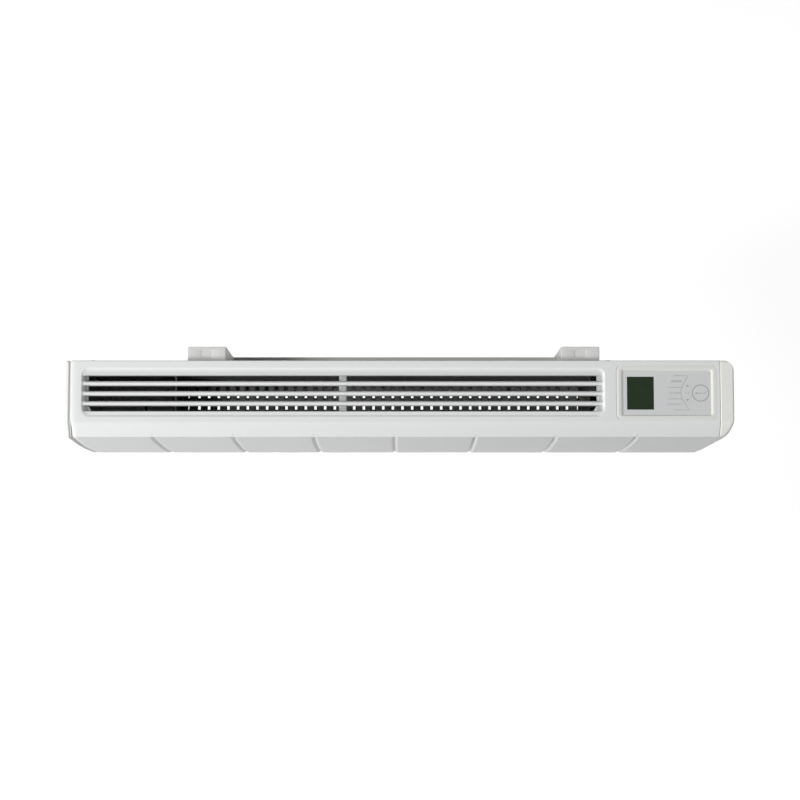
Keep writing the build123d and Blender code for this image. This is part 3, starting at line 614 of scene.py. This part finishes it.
# ---- controls --------------------------------------------------------------------------
def make_bezel(sizes, finish):
    """Dished surround of the keypad: round rectangles from the tray's seat down to the film's edge."""
    outer = np.array((TRAY_LEFT, TRAY_RIGHT, REAR_Y - TRAY_FRONT, REAR_Y - TRAY_REAR, TRAY_CORNER))
    film = np.array((FILM_LOW[0], FILM_HIGH[0], FILM_LOW[1], FILM_HIGH[1], 1.5))
    inward = np.array((1, -1, 1, -1, -1))
    film_top = FILM_HIGH[2] - TOP_Z
    # each station: inset, share of the way from the tray's outline to the film's, height under the top
    lip, dish = 3.1, 1.3
    stations = [(0.0, 0, -2.2), (0.0, 0, -0.30), (0.2, 0, -0.16), (0.5, 0, -0.09), (0.9, 0, -0.06),
                (1.4, 0, -0.04), (1.9, 0, -0.03), (2.3, 0, -0.02), (2.7, 0, -0.02), (lip, 0, -0.04)]
    stations += [(lip * (1 - t), t, -0.04 - dish * ((t - 0.42) / 0.58) ** 1.2)
                 for t in np.linspace(0.45, 0.985, 12)]
    stations += [(0, 0.995, film_top - 0.02), (0, 1.0, film_top - 0.06), (0, 1.0, -1.75)]
    rings = []
    for inset, share, height in stations:
        shape = outer * (1 - share) + film * share + inward * inset
        ring = level(rounded_rect(*shape), TOP_Z + height)
        # the left edge alone stands up from a step, so that it catches the light
        if share == 0 and height > -2:
            ring[:, 2] -= 0.6 * (1 - inset / lip) ** 1.6 * smooth_step((TRAY_LEFT + 6 - ring[:, 0]) / 4.5)
        rings.append(ring)
    rings.append(level(rounded_rect(*film), TOP_Z - 2.2))
    rings.append(level(rounded_rect(*outer), TOP_Z - 2.2))
    shapes = [stack(rings, False, False)]
    # ledge that the film's edge sits on
    ledge_top = FILM_LOW[2] - 0.02
    ledge_low = ledge_top - 1.8
    ledge_inner = film + inward * (1.0, 1.0, 1.0, 1.0, 0.5)
    shapes.append(frame_plate(film - inward * 1.5, ledge_inner, ledge_low, ledge_top))
    # bar between the display and the pads
    bar = rounded_rect(253.4, 264.8, FILM_LOW[1], FILM_HIGH[1], 0.1)
    shapes.append(slab(bar, ledge_low, ledge_top - 0.01))
    # clamping flange under the casing
    flange_low, flange_high = TOP_Z - 6.0, TOP_Z - 4.4
    flange_outer = outer - inward * (2.8, 2.0, 2.4, 1.4, 0)
    shapes.append(frame_plate(flange_outer, outer + inward * 3, flange_low, flange_high))
    # posts for the board
    post_low, post_high = node_box("control_pcb")[1][2] + 0.02, FILM_LOW[2] - 1.9
    for x in (222.0, 309.0):
        for y in (-29.0, -67.0):
            shapes.append(slab(rounded_rect(x - 3, x + 3, y - 3, y + 3, 2.999), post_low, post_high))
    # the whole surround is a tenth darker in painted shade than the right cap of the same trim white
    return put_mesh("bezel_skin", *join(shapes), finish, sharp=40, painted_shade=1.0)


def frame_plate(outer, inner, low, high):
    """Flat plate with an opening: both outlines are round rectangles (x0, x1, y0, y1, radius)."""
    outside, inside = rounded_rect(*outer), rounded_rect(*inner)
    rings = [level(outside, high), level(outside, low), level(inside, low), level(inside, high)]
    return stack(rings + rings[:1], False, False)


KEY_OUTLINES = {
    "key_mode": ((265.5, -42.1), (280.2, -42.1), (286.0, -31.3), (265.5, -31.3)),
    "key_clock": ((265.5, -53.6), (279.6, -53.6), (279.0, -47.9), (279.6, -42.7), (265.5, -42.7)),
    "key_advance": ((265.5, -64.3), (286.4, -64.3), (280.2, -54.2), (265.5, -54.2)),
    "key_up": ((283.4, -46.6), (289.2, -46.6), (289.2, -37.6), (285.0, -37.6)),
    "key_down": ((285.0, -58.6), (289.2, -58.6), (289.2, -49.6), (283.4, -49.6)),
}
ENTER_KEY = (298.6, -48.1, 8.5)
HAIR = 0.02


def circle(x, y, radius, steps=48):
    """Points round a circle in plan."""
    turn = np.linspace(0, 2 * pi, steps, endpoint=False)
    return np.stack((x + radius * np.cos(turn), y + radius * np.sin(turn)), 1)


def spread(outline, amount):
    """A counter-clockwise outline moved outwards along the bisector of each corner."""
    outline = np.asarray(outline, float)
    on = np.roll(outline, -1, 0) - outline
    on /= np.linalg.norm(on, axis=1)[:, None]
    back = np.roll(on, 1, 0)
    out = np.stack((on[:, 1] + back[:, 1], -on[:, 0] - back[:, 0]), 1)
    out /= np.sum(out * np.stack((on[:, 1], -on[:, 0]), 1), axis=1)[:, None]
    return outline + out * amount


def key_seals(finish):
    """Thin lips of film over the gaps round the pads, so that the film looks like one skin."""
    z = FILM_HIGH[2]
    outlines = [np.array(o) for o in KEY_OUTLINES.values()] + [circle(*ENTER_KEY)]
    lips = []
    for outline in outlines:
        inner, outer = level(spread(outline, -0.06), z + 0.004), level(spread(outline, 0.26), z + 0.004)
        rings = [inner + (0, 0, HAIR), outer + (0, 0, HAIR), outer, inner]
        lips.append(stack(rings + rings[:1], False, False))
    return put_mesh("key_seals", *join(lips), finish)


def film_lines(finish):
    """Thin printed lines on the film: the border round the left pads, its dividers, a minus and a plus."""
    z0, z1 = FILM_HIGH[2] + 0.01, FILM_HIGH[2] + 0.04
    border = [(270.4, -30.85), (275, -30.85), (286.55, -30.85), (280.6, -42.3), (280.05, -42.9),
              (279.45, -47.9), (280.05, -53.5), (280.6, -54.0), (287.1, -64.75), (275, -64.75), (270.4, -64.75)]
    width = 0.42 * np.array((0.1, 1, 1, 1, 1, 1, 1, 1, 1, 1, 0.1))
    strokes = [stroke(border, width, z0, z1)]
    for y in (-42.4, -53.9):
        strokes.append(stroke([(279.9, y), (270, y), (265.6, y)], [0.34, 0.34, 0.05], z0, z1))
    sign = 0.3
    strokes.append(stroke([(283.4, -48.1), (284.8, -48.1)], sign, z0, z1))
    strokes.append(stroke([(285.9, -48.1), (287.5, -48.1)], sign, z0, z1))
    strokes.append(stroke([(286.7, -48.9), (286.7, -47.3)], sign, z0, z1 + 0.005))
    return put_mesh("film_lines", *join(strokes), finish)


def key_icons():
    """For each pad, the shapes of its printed icon.

    They are bars, a clock, chevrons, triangles and a return arrow in a ring.
    """
    z0, z1 = FILM_HIGH[2] + 0.03, FILM_HIGH[2] + 0.05
    bars = [stroke([(269.8, y), (280.0, y)], 0.34, z0, z1) for y in (-35.8, -36.55, -37.3)]
    clock = [stroke(circle(269.6, -48.2, 1.25, 24), 0.32, z0, z1, closed=True),
             stroke([(269.6, -47.5), (269.6, -48.2), (270.2, -48.2)], 0.25, z0, z1)]
    clock += [stroke([(271.8, y), (279.0, y)], 0.34, z0, z1) for y in (-47.6, -48.8)]
    chevrons = [stroke([(x, -58.4), (x + 0.9, -59.3), (x, -60.2)], 0.42, z0, z1)
                for x in np.arange(266.2, 280.0, 1.9)]
    up = [slab(np.array([(284.1, -41.9), (287.5, -41.9), (285.8, -40.0)]), z0, z1)]
    down = [slab(np.array([(284.1, -54.2), (285.8, -56.1), (287.5, -54.2)]), z0, z1)]
    x, y, radius = ENTER_KEY
    enter = [stroke(circle(x, y, radius - 0.5), 0.75, z0, z1, closed=True),
             stroke([(x + 5.4, y + 1.3), (x + 5.4, y - 0.2), (x - 5.0, y - 0.2)], 0.5, z0, z1),
             stroke([(x - 3.8, y + 0.8), (x - 5.2, y - 0.2), (x - 3.8, y - 1.2)], 0.5, z0, z1 + 0.005)]
    return {"key_mode": bars, "key_clock": clock, "key_advance": chevrons, "key_up": up, "key_down": down,
            "key_enter": enter}


def make_bracket_cap(node, finish):
    """Rounded slab over a bracket arm, with a shallow rectangle sunk in its face, and a plug below."""
    low, high = node_box(node)
    thickness, edge = 3.0, 0.7
    middle = (low[0] + high[0]) / 2
    turn = np.linspace(0, pi / 2, 6)
    inset = np.concatenate((edge * (1 - np.sin(turn)), edge * (1 - np.sin(turn))[::-1]))
    rise = np.concatenate((edge * (1 - np.cos(turn)) - thickness, edge * (np.cos(turn[::-1]) - 1)))
    rings = [level(rounded_rect(low[0] + i, high[0] - i, low[1] + i, high[1] - i, 1.6 - i), high[2] + z)
             for i, z in zip(inset, rise)]
    half_width, front, rear, corner = 5.5, -11, -3.5, 0.5
    for out, z in ((0.3, 0), (0, -0.1), (-0.3, -0.35)):
        left, right = middle - half_width - out, middle + half_width + out
        dent = rounded_rect(left, right, front - out, rear + out, corner + out)
        rings.append(level(dent, high[2] + z))
    plug = slab(rounded_rect(low[0] + 1.6, high[0] - 1.6, low[1] + 0.7, high[1] - 1.6, 0.6), low[2] + 0.05,
                high[2] - thickness)
    return put_mesh(node + "_skin", *join([stack(rings), plug]), finish, shift=0)


# ---- finishes: shared effects ----------------------------------------------------------
def new_group(name, inputs, outputs):
    """A shader node group with named sockets; returns it with its input and output nodes."""
    group = bpy.data.node_groups.new(name, "ShaderNodeTree")
    for label, kind, value in inputs:
        socket = group.interface.new_socket(label, in_out="INPUT", socket_type=kind)
        socket.default_value = value
    for label, kind in outputs:
        group.interface.new_socket(label, in_out="OUTPUT", socket_type=kind)
    return group, group.nodes.new("NodeGroupInput"), group.nodes.new("NodeGroupOutput")


def noise(tree, place, scale, detail=3.0, roughness=0.55):
    """A noise texture on given coordinates."""
    node = tree.nodes.new("ShaderNodeTexNoise")
    node.inputs["Detail"].default_value = detail
    node.inputs["Roughness"].default_value = roughness
    tree.links.new(place, node.inputs["Vector"])
    if isinstance(scale, (int, float)):
        node.inputs["Scale"].default_value = scale
    else:
        tree.links.new(scale, node.inputs["Scale"])
    return node


def sum_node(tree, operation, *values):
    """A Math node whose inputs are numbers or other nodes' outputs; returns its output."""
    node = tree.nodes.new("ShaderNodeMath")
    node.operation = operation
    for socket, value in zip(node.inputs, values):
        if isinstance(value, (int, float)):
            socket.default_value = value
        else:
            tree.links.new(value, socket)
    return node.outputs[0]


def shaded(tree, tone, share):
    """A colour multiplied by a number; returns the colour's output."""
    node = tree.nodes.new("ShaderNodeVectorMath")
    node.operation = "SCALE"
    tree.links.new(tone, node.inputs[0])
    tree.links.new(share, node.inputs["Scale"])
    return node.outputs[0]


def relief(tree, strength, height):
    """A bump a fifth of a millimetre high at most; returns the normal's output."""
    node = tree.nodes.new("ShaderNodeBump")
    node.inputs["Distance"].default_value = 0.0002
    tree.links.new(strength, node.inputs["Strength"])
    tree.links.new(height, node.inputs["Height"])
    return node.outputs["Normal"]


SURFACE_OUTPUTS = [("Colour", "NodeSocketColor"), ("Roughness", "NodeSocketFloat"),
                   ("Normal", "NodeSocketVector")]


def moulded_group():
    """Moulded plastic: faint spark-eroded grain, slow unevenness in tone and gloss."""
    group, given, out = new_group("moulded_surface", [
        ("Colour", "NodeSocketColor", (0.8, 0.8, 0.8, 1)),
        ("Grain scale", "NodeSocketFloat", 2600.0),
        ("Grain height", "NodeSocketFloat", 0.08),
        ("Tone change", "NodeSocketFloat", 0.03),
        ("Roughness", "NodeSocketFloat", 0.4),
    ], SURFACE_OUTPUTS)
    given = given.outputs
    place = group.nodes.new("ShaderNodeTexCoord").outputs["Object"]
    grain = noise(group, place, given["Grain scale"], 2.0).outputs["Fac"]
    flow = noise(group, place, 9.0, 4.0).outputs["Fac"]
    shade = sum_node(group, "MULTIPLY_ADD", flow, given["Tone change"], 0.985)
    gloss = sum_node(group, "MULTIPLY_ADD", grain, 0.12, given["Roughness"])
    group.links.new(shaded(group, given["Colour"], shade), out.inputs["Colour"])
    group.links.new(gloss, out.inputs["Roughness"])
    group.links.new(relief(group, given["Grain height"], grain), out.inputs["Normal"])
    return group


def metal_group():
    """Rolled metal: fine streaks drawn out along X, blotches of dulling, scuffed tone."""
    group, given, out = new_group("rolled_metal", [
        ("Colour", "NodeSocketColor", (0.6, 0.6, 0.6, 1)),
        ("Streak height", "NodeSocketFloat", 0.15),
        ("Dulling", "NodeSocketFloat", 0.2),
        ("Roughness", "NodeSocketFloat", 0.3),
    ], SURFACE_OUTPUTS)
    given = given.outputs
    place = group.nodes.new("ShaderNodeTexCoord").outputs["Object"]
    stretch = group.nodes.new("ShaderNodeMapping")
    stretch.inputs["Scale"].default_value = (0.04, 1.0, 1.0)
    group.links.new(place, stretch.inputs["Vector"])
    streaks = noise(group, stretch.outputs["Vector"], 1500.0, 4.0).outputs["Fac"]
    blotch = noise(group, place, 60.0, 5.0, 0.65).outputs["Fac"]
    loss = sum_node(group, "MULTIPLY", blotch, given["Dulling"])
    keep = sum_node(group, "SUBTRACT", 1.0, loss)
    rough = sum_node(group, "ADD", loss, given["Roughness"])
    group.links.new(shaded(group, given["Colour"], keep), out.inputs["Colour"])
    group.links.new(rough, out.inputs["Roughness"])
    group.links.new(relief(group, given["Streak height"], streaks), out.inputs["Normal"])
    return group


GROUPS = {}


def effect(tree, name, **values):
    """Places a shared effect in a material, with its own values."""
    if name not in GROUPS:
        GROUPS[name] = {"moulded": moulded_group, "metal": metal_group}[name]()
    node = tree.nodes.new("ShaderNodeGroup")
    node.node_tree = GROUPS[name]
    for label, value in values.items():
        node.inputs[label.replace("_", " ")].default_value = value
    return node


def new_material(name):
    """An empty node material and its Principled shader."""
    material = bpy.data.materials.new(name)
    material.use_nodes = True
    return material, material.node_tree, material.node_tree.nodes["Principled BSDF"]


def wire(tree, node, shader):
    """Joins an effect's colour, roughness and normal to the shader."""
    tree.links.new(node.outputs["Colour"], shader.inputs["Base Color"])
    tree.links.new(node.outputs["Roughness"], shader.inputs["Roughness"])
    tree.links.new(node.outputs["Normal"], shader.inputs["Normal"])


def plastic(name, tone, roughness=0.38, grain=0.08, scale=2600.0, change=0.03, ior=1.48, painted_shade=0.0):
    """Moulded plastic finish; the last argument is how much the mesh's painted shade amount darkens it."""
    material, tree, shader = new_material(name)
    node = effect(tree, "moulded", Colour=(*tone, 1), Grain_scale=scale, Grain_height=grain,
                  Tone_change=change, Roughness=roughness - 0.06)
    wire(tree, node, shader)
    # painted shade: the colour is darkened by the mesh's painted shade amount
    if painted_shade:
        amount = tree.nodes.new("ShaderNodeAttribute")
        amount.attribute_name = "painted_shade"
        keep = sum_node(tree, "MULTIPLY_ADD", amount.outputs["Fac"], -painted_shade, 1.0)
        tree.links.new(shaded(tree, node.outputs["Colour"], keep), shader.inputs["Base Color"])
    shader.inputs["IOR"].default_value = ior
    return material


def metal(name, tone, roughness=0.3, streak=0.15, dulling=0.2, metallic=1.0):
    """Bare or plated metal finish."""
    material, tree, shader = new_material(name)
    wire(tree, effect(tree, "metal", Colour=(*tone, 1), Streak_height=streak, Dulling=dulling,
                      Roughness=roughness), shader)
    shader.inputs["Metallic"].default_value = metallic
    return material


def glass(name, tone):
    """Clear coated window: a tinted see-through sheet under a weak reflection, its gloss faintly smeared."""
    material, tree, shader = new_material(name)
    tree.nodes.remove(shader)
    place = tree.nodes.new("ShaderNodeTexCoord").outputs["Object"]
    smear = noise(tree, place, 120.0, 3.0)
    gloss = tree.nodes.new("ShaderNodeMapRange")
    gloss.inputs["To Min"].default_value = 0.10
    gloss.inputs["To Max"].default_value = 0.22
    tree.links.new(smear.outputs["Fac"], gloss.inputs["Value"])
    sheen = tree.nodes.new("ShaderNodeBsdfGlossy")
    tree.links.new(gloss.outputs["Result"], sheen.inputs["Roughness"])
    clear = tree.nodes.new("ShaderNodeBsdfTransparent")
    clear.inputs["Color"].default_value = (*tone, 1)
    share = tree.nodes.new("ShaderNodeFresnel")
    share.inputs["IOR"].default_value = 1.2
    mix = tree.nodes.new("ShaderNodeMixShader")
    tree.links.new(share.outputs["Fac"], mix.inputs[0])
    tree.links.new(clear.outputs["BSDF"], mix.inputs[1])
    tree.links.new(sheen.outputs["BSDF"], mix.inputs[2])
    tree.links.new(mix.outputs["Shader"], tree.nodes["Material Output"].inputs["Surface"])
    return material


FINISHES = {}


def finish(name):
    """A finish that the Finishes operator has made."""
    if name not in FINISHES:
        raise RuntimeError("Run the Finishes operator before the others")
    return FINISHES[name]


def make_finishes(colours):
    """One finish for each of the record's slots, and those that only new pieces use."""
    made = {
        # the casing is up to half darker in painted shade in the grille's hollows
        "casing_white": plastic("casing_white", colours.casing, 0.36, painted_shade=0.5),
        # trim white: a tenth darker in painted shade on the pieces that carry it; the right cap carries none
        "trim_white": plastic("trim_white", colours.trim, 0.42, painted_shade=0.10),
        "panel_steel": plastic("panel_steel", (0.50, 0.50, 0.49), 0.45, 0.35, 900.0),
        # galvanised steel made darker than it is: painted shade of the casing's interior
        "support_steel": metal("support_steel", (0.20, 0.20, 0.19), 0.45),
        "screw_steel": metal("screw_steel", (0.62, 0.62, 0.60), 0.3),
        "bumper_rubber": plastic("bumper_rubber", (0.02, 0.02, 0.02), 0.7, 0.4, 1400.0),
        "element_aluminium": metal("element_aluminium", (0.55, 0.55, 0.55), 0.4, 0.25, 0.35),
        "element_sheath": metal("element_sheath", (0.24, 0.20, 0.17), 0.45, 0.2, 0.4),
        "shield_aluminium": metal("shield_aluminium", (0.30, 0.30, 0.30), 0.5, 0.2, 0.5),
        "ceramic_bush": plastic("ceramic_bush", (0.16, 0.15, 0.13), 0.6, 0.3, 1800.0),
        "black_plastic": plastic("black_plastic", (0.018, 0.018, 0.018), 0.45, 0.2),
        "keypad_film": plastic("keypad_film", colours.film, 0.34, 0.12, 4200.0, 0.02),
        "display_clear": glass("display_clear", (0.92, 0.95, 0.92)),
        "display_green": plastic("display_green", colours.display, 0.5, 0.02, 1500.0, 0.10, 1.15),
        "board_green": plastic("board_green", (0.02, 0.16, 0.06), 0.35, 0.1),
        "relay_blue": plastic("relay_blue", (0.04, 0.12, 0.40), 0.4),
        "capacitor_yellow": plastic("capacitor_yellow", (0.70, 0.50, 0.05), 0.4),
        "connector_white": plastic("connector_white", (0.74, 0.73, 0.68), 0.5),
        "brass_parts": metal("brass_parts", (0.72, 0.52, 0.22), 0.28),
        "lead_red": plastic("lead_red", (0.10, 0.012, 0.01), 0.5, 0.2),
        "lead_blue": plastic("lead_blue", (0.01, 0.018, 0.06), 0.5, 0.2),
        "rocker_black": plastic("rocker_black", (0.015, 0.015, 0.015), 0.25, 0.03),
        "bracket_paint": plastic("bracket_paint", colours.bracket, 0.45, 0.4, 800.0),
        "cap_grey": plastic("cap_grey", colours.bracket_cap, 0.45, 0.1),
        # near black: assumed black paint that also stands in for the shade inside the casing
        "inner_dark": plastic("inner_dark", (0.02, 0.021, 0.02), 0.7, 0.2),
        "print_ink": plastic("print_ink", colours.print_ink, 0.5, 0.05),
    }
    FINISHES.update(made)
    return made


# ---- operators -------------------------------------------------------------------------
class HEATER_OT_finishes(Operator):
    """Make every finish and put it on the carried-over pieces"""
    bl_idname = "heater.finishes"
    bl_label = "Finishes"

    def execute(self, context):
        finishes = make_finishes(context.scene.heater_colours)
        for part in frame["record"]["subparts"]:
            mesh = frame["nodes"][part["node"]].data
            mesh.materials.clear()
            mesh.materials.append(finishes[part["material_slot"]])
            mesh.polygons.foreach_set("material_index", np.zeros(len(mesh.polygons), int))
        return {"FINISHED"}


class HEATER_OT_casing(Operator):
    """Build the front casing with its grille, grooves and soft edges"""
    bl_idname = "heater.casing"
    bl_label = "Front casing"

    def execute(self, context):
        piece = make_casing(context.scene.heater_sizes, finish("casing_white"), finish("inner_dark"))
        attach(piece, "heater")
        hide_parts("front_casing")
        return {"FINISHED"}


class HEATER_OT_ends(Operator):
    """Build the left trim and the right end cap"""
    bl_idname = "heater.ends"
    bl_label = "End pieces"

    def execute(self, context):
        sizes = context.scene.heater_sizes
        for make, node in ((make_left_trim, "left_side_trim"), (make_right_cap, "right_end_cap")):
            piece = make(sizes, finish("trim_white"))
            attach(piece, "heater")
            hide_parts(node)
        return {"FINISHED"}


class HEATER_OT_controls(Operator):
    """Build the keypad's dished surround"""
    bl_idname = "heater.controls"
    bl_label = "Control surround"

    def execute(self, context):
        piece = make_bezel(context.scene.heater_sizes, finish("trim_white"))
        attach(piece, "heater")
        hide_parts("control_housing")
        piece = key_seals(finish("keypad_film"))
        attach(piece, "heater")
        piece = film_lines(finish("print_ink"))
        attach(piece, "heater")
        for key, shapes in key_icons().items():
            piece = put_mesh(key + "_icon", *join(shapes), finish("print_ink"))
            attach(piece, key)
        return {"FINISHED"}


class HEATER_OT_bracket(Operator):
    """Build the caps of the bracket's arms"""
    bl_idname = "heater.bracket"
    bl_label = "Bracket caps"

    def execute(self, context):
        for node in ("bracket_cap_left", "bracket_cap_right"):
            piece = make_bracket_cap(node, finish("cap_grey"))
            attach(piece, "bracket")
            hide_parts(node)
        return {"FINISHED"}


class HEATER_OT_stage(Operator):
    """Build the floor, the lights and the camera"""
    bl_idname = "heater.stage"
    bl_label = "Stage"

    def execute(self, context):
        scene, stage = context.scene, context.scene.heater_stage
        floor_z = BOTTOM_Z * MM - stage.floor_drop
        floor_mesh = bpy.data.meshes.new("floor")
        reach = 1.4
        corners_xy = ((-reach, -reach), (reach, -reach), (reach, reach), (-reach, reach))
        floor_mesh.from_pydata([(x, y, floor_z) for x, y in corners_xy], [], [(0, 1, 2, 3)])
        floor = bpy.data.objects.new("floor", floor_mesh)
        scene.collection.objects.link(floor)
        material, tree, shader = new_material("pale_floor")
        place = tree.nodes.new("ShaderNodeTexCoord").outputs["Object"]
        tone = tree.nodes.new("ShaderNodeMapRange")
        tone.inputs["To Min"].default_value = 0.90
        tone.inputs["To Max"].default_value = 0.94
        tree.links.new(noise(tree, place, 3.0).outputs["Fac"], tone.inputs["Value"])
        tree.links.new(tone.outputs["Result"], shader.inputs["Base Color"])
        shader.inputs["Roughness"].default_value = 0.9
        shader.inputs["Emission Color"].default_value = (1, 1, 1, 1)
        shader.inputs["Emission Strength"].default_value = stage.floor_glow
        floor_mesh.materials.append(material)
        self.light("main", (-4.2, -0.8, 5.0), 2.2, stage.main_power)
        self.light("top", (0.3, -0.3, 3.2), 2.4, stage.top_power)
        self.light("side", (-0.95, -0.9, 0.3), 0.5, stage.side_power)
        self.light("front", (0.0, -3.0, 3.0), 1.5, stage.front_power)
        self.light("right", (2.4, 0.35, 0.12), 0.8, stage.right_power)
        world = bpy.data.worlds.new("studio")
        world.use_nodes = True
        # the sky is pale to the camera but gives the scene only its set strength
        tree = world.node_tree
        tree.nodes["Background"].inputs["Color"].default_value = (1, 1, 1, 1)
        seen = tree.nodes.new("ShaderNodeMapRange")
        seen.inputs["To Min"].default_value = stage.sky
        tree.links.new(tree.nodes.new("ShaderNodeLightPath").outputs["Is Camera Ray"], seen.inputs["Value"])
        tree.links.new(seen.outputs["Result"], tree.nodes["Background"].inputs["Strength"])
        scene.world = world
        scene.view_settings.view_transform = "Standard"
        lens = bpy.data.cameras.new("camera")
        lens.sensor_width = 36.0
        lens.lens = stage.lens
        lens.clip_end = 50.0
        camera = bpy.data.objects.new("camera", lens)
        camera.location = (stage.camera_side, -stage.camera_forward, TOP_Z * MM + stage.camera_height)
        camera.rotation_euler = (stage.camera_tilt, 0, 0)
        scene.collection.objects.link(camera)
        scene.camera = camera
        return {"FINISHED"}

    def light(self, name, place, size, power):
        """A square softbox that faces the heater."""
        data = bpy.data.lights.new(name, "AREA")
        data.size = size
        data.energy = power
        lamp = bpy.data.objects.new(name, data)
        lamp.location = place
        lamp.rotation_euler = (-Vector(place)).to_track_quat("-Z", "Y").to_euler()
        bpy.context.scene.collection.objects.link(lamp)


class HEATER_PT_panel(Panel):
    """Lists the heater's settings and the operators that build it"""
    bl_label = "Heater"
    bl_idname = "HEATER_PT_panel"
    bl_space_type = "VIEW_3D"
    bl_region_type = "UI"
    bl_category = "Heater"

    def draw(self, context):
        for operator in OPERATORS:
            self.layout.operator(operator.bl_idname)
        for group in (context.scene.heater_sizes, context.scene.heater_colours, context.scene.heater_stage):
            for name in group.bl_rna.properties.keys():
                if name not in ("rna_type", "name"):
                    self.layout.prop(group, name)


OPERATORS = (HEATER_OT_finishes, HEATER_OT_casing, HEATER_OT_ends, HEATER_OT_controls, HEATER_OT_bracket,
             HEATER_OT_stage)
SETTINGS = {"heater_sizes": HeaterSizes, "heater_colours": HeaterColours, "heater_stage": HeaterStage}


def register():
    """Registers the settings, the operators and the panel."""
    for each in (*SETTINGS.values(), *OPERATORS, HEATER_PT_panel):
        bpy.utils.register_class(each)
    for name, group in SETTINGS.items():
        setattr(bpy.types.Scene, name, PointerProperty(type=group))


def unregister():
    """Removes what register added."""
    for name in SETTINGS:
        delattr(bpy.types.Scene, name)
    for each in (HEATER_PT_panel, *OPERATORS[::-1], *list(SETTINGS.values())[::-1]):
        bpy.utils.unregister_class(each)


def main():
    """Registers everything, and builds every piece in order."""
    register()
    for operator in OPERATORS:
        area, action = operator.bl_idname.split(".")
        getattr(getattr(bpy.ops, area), action)()


if __name__ == "__main__":
    main()
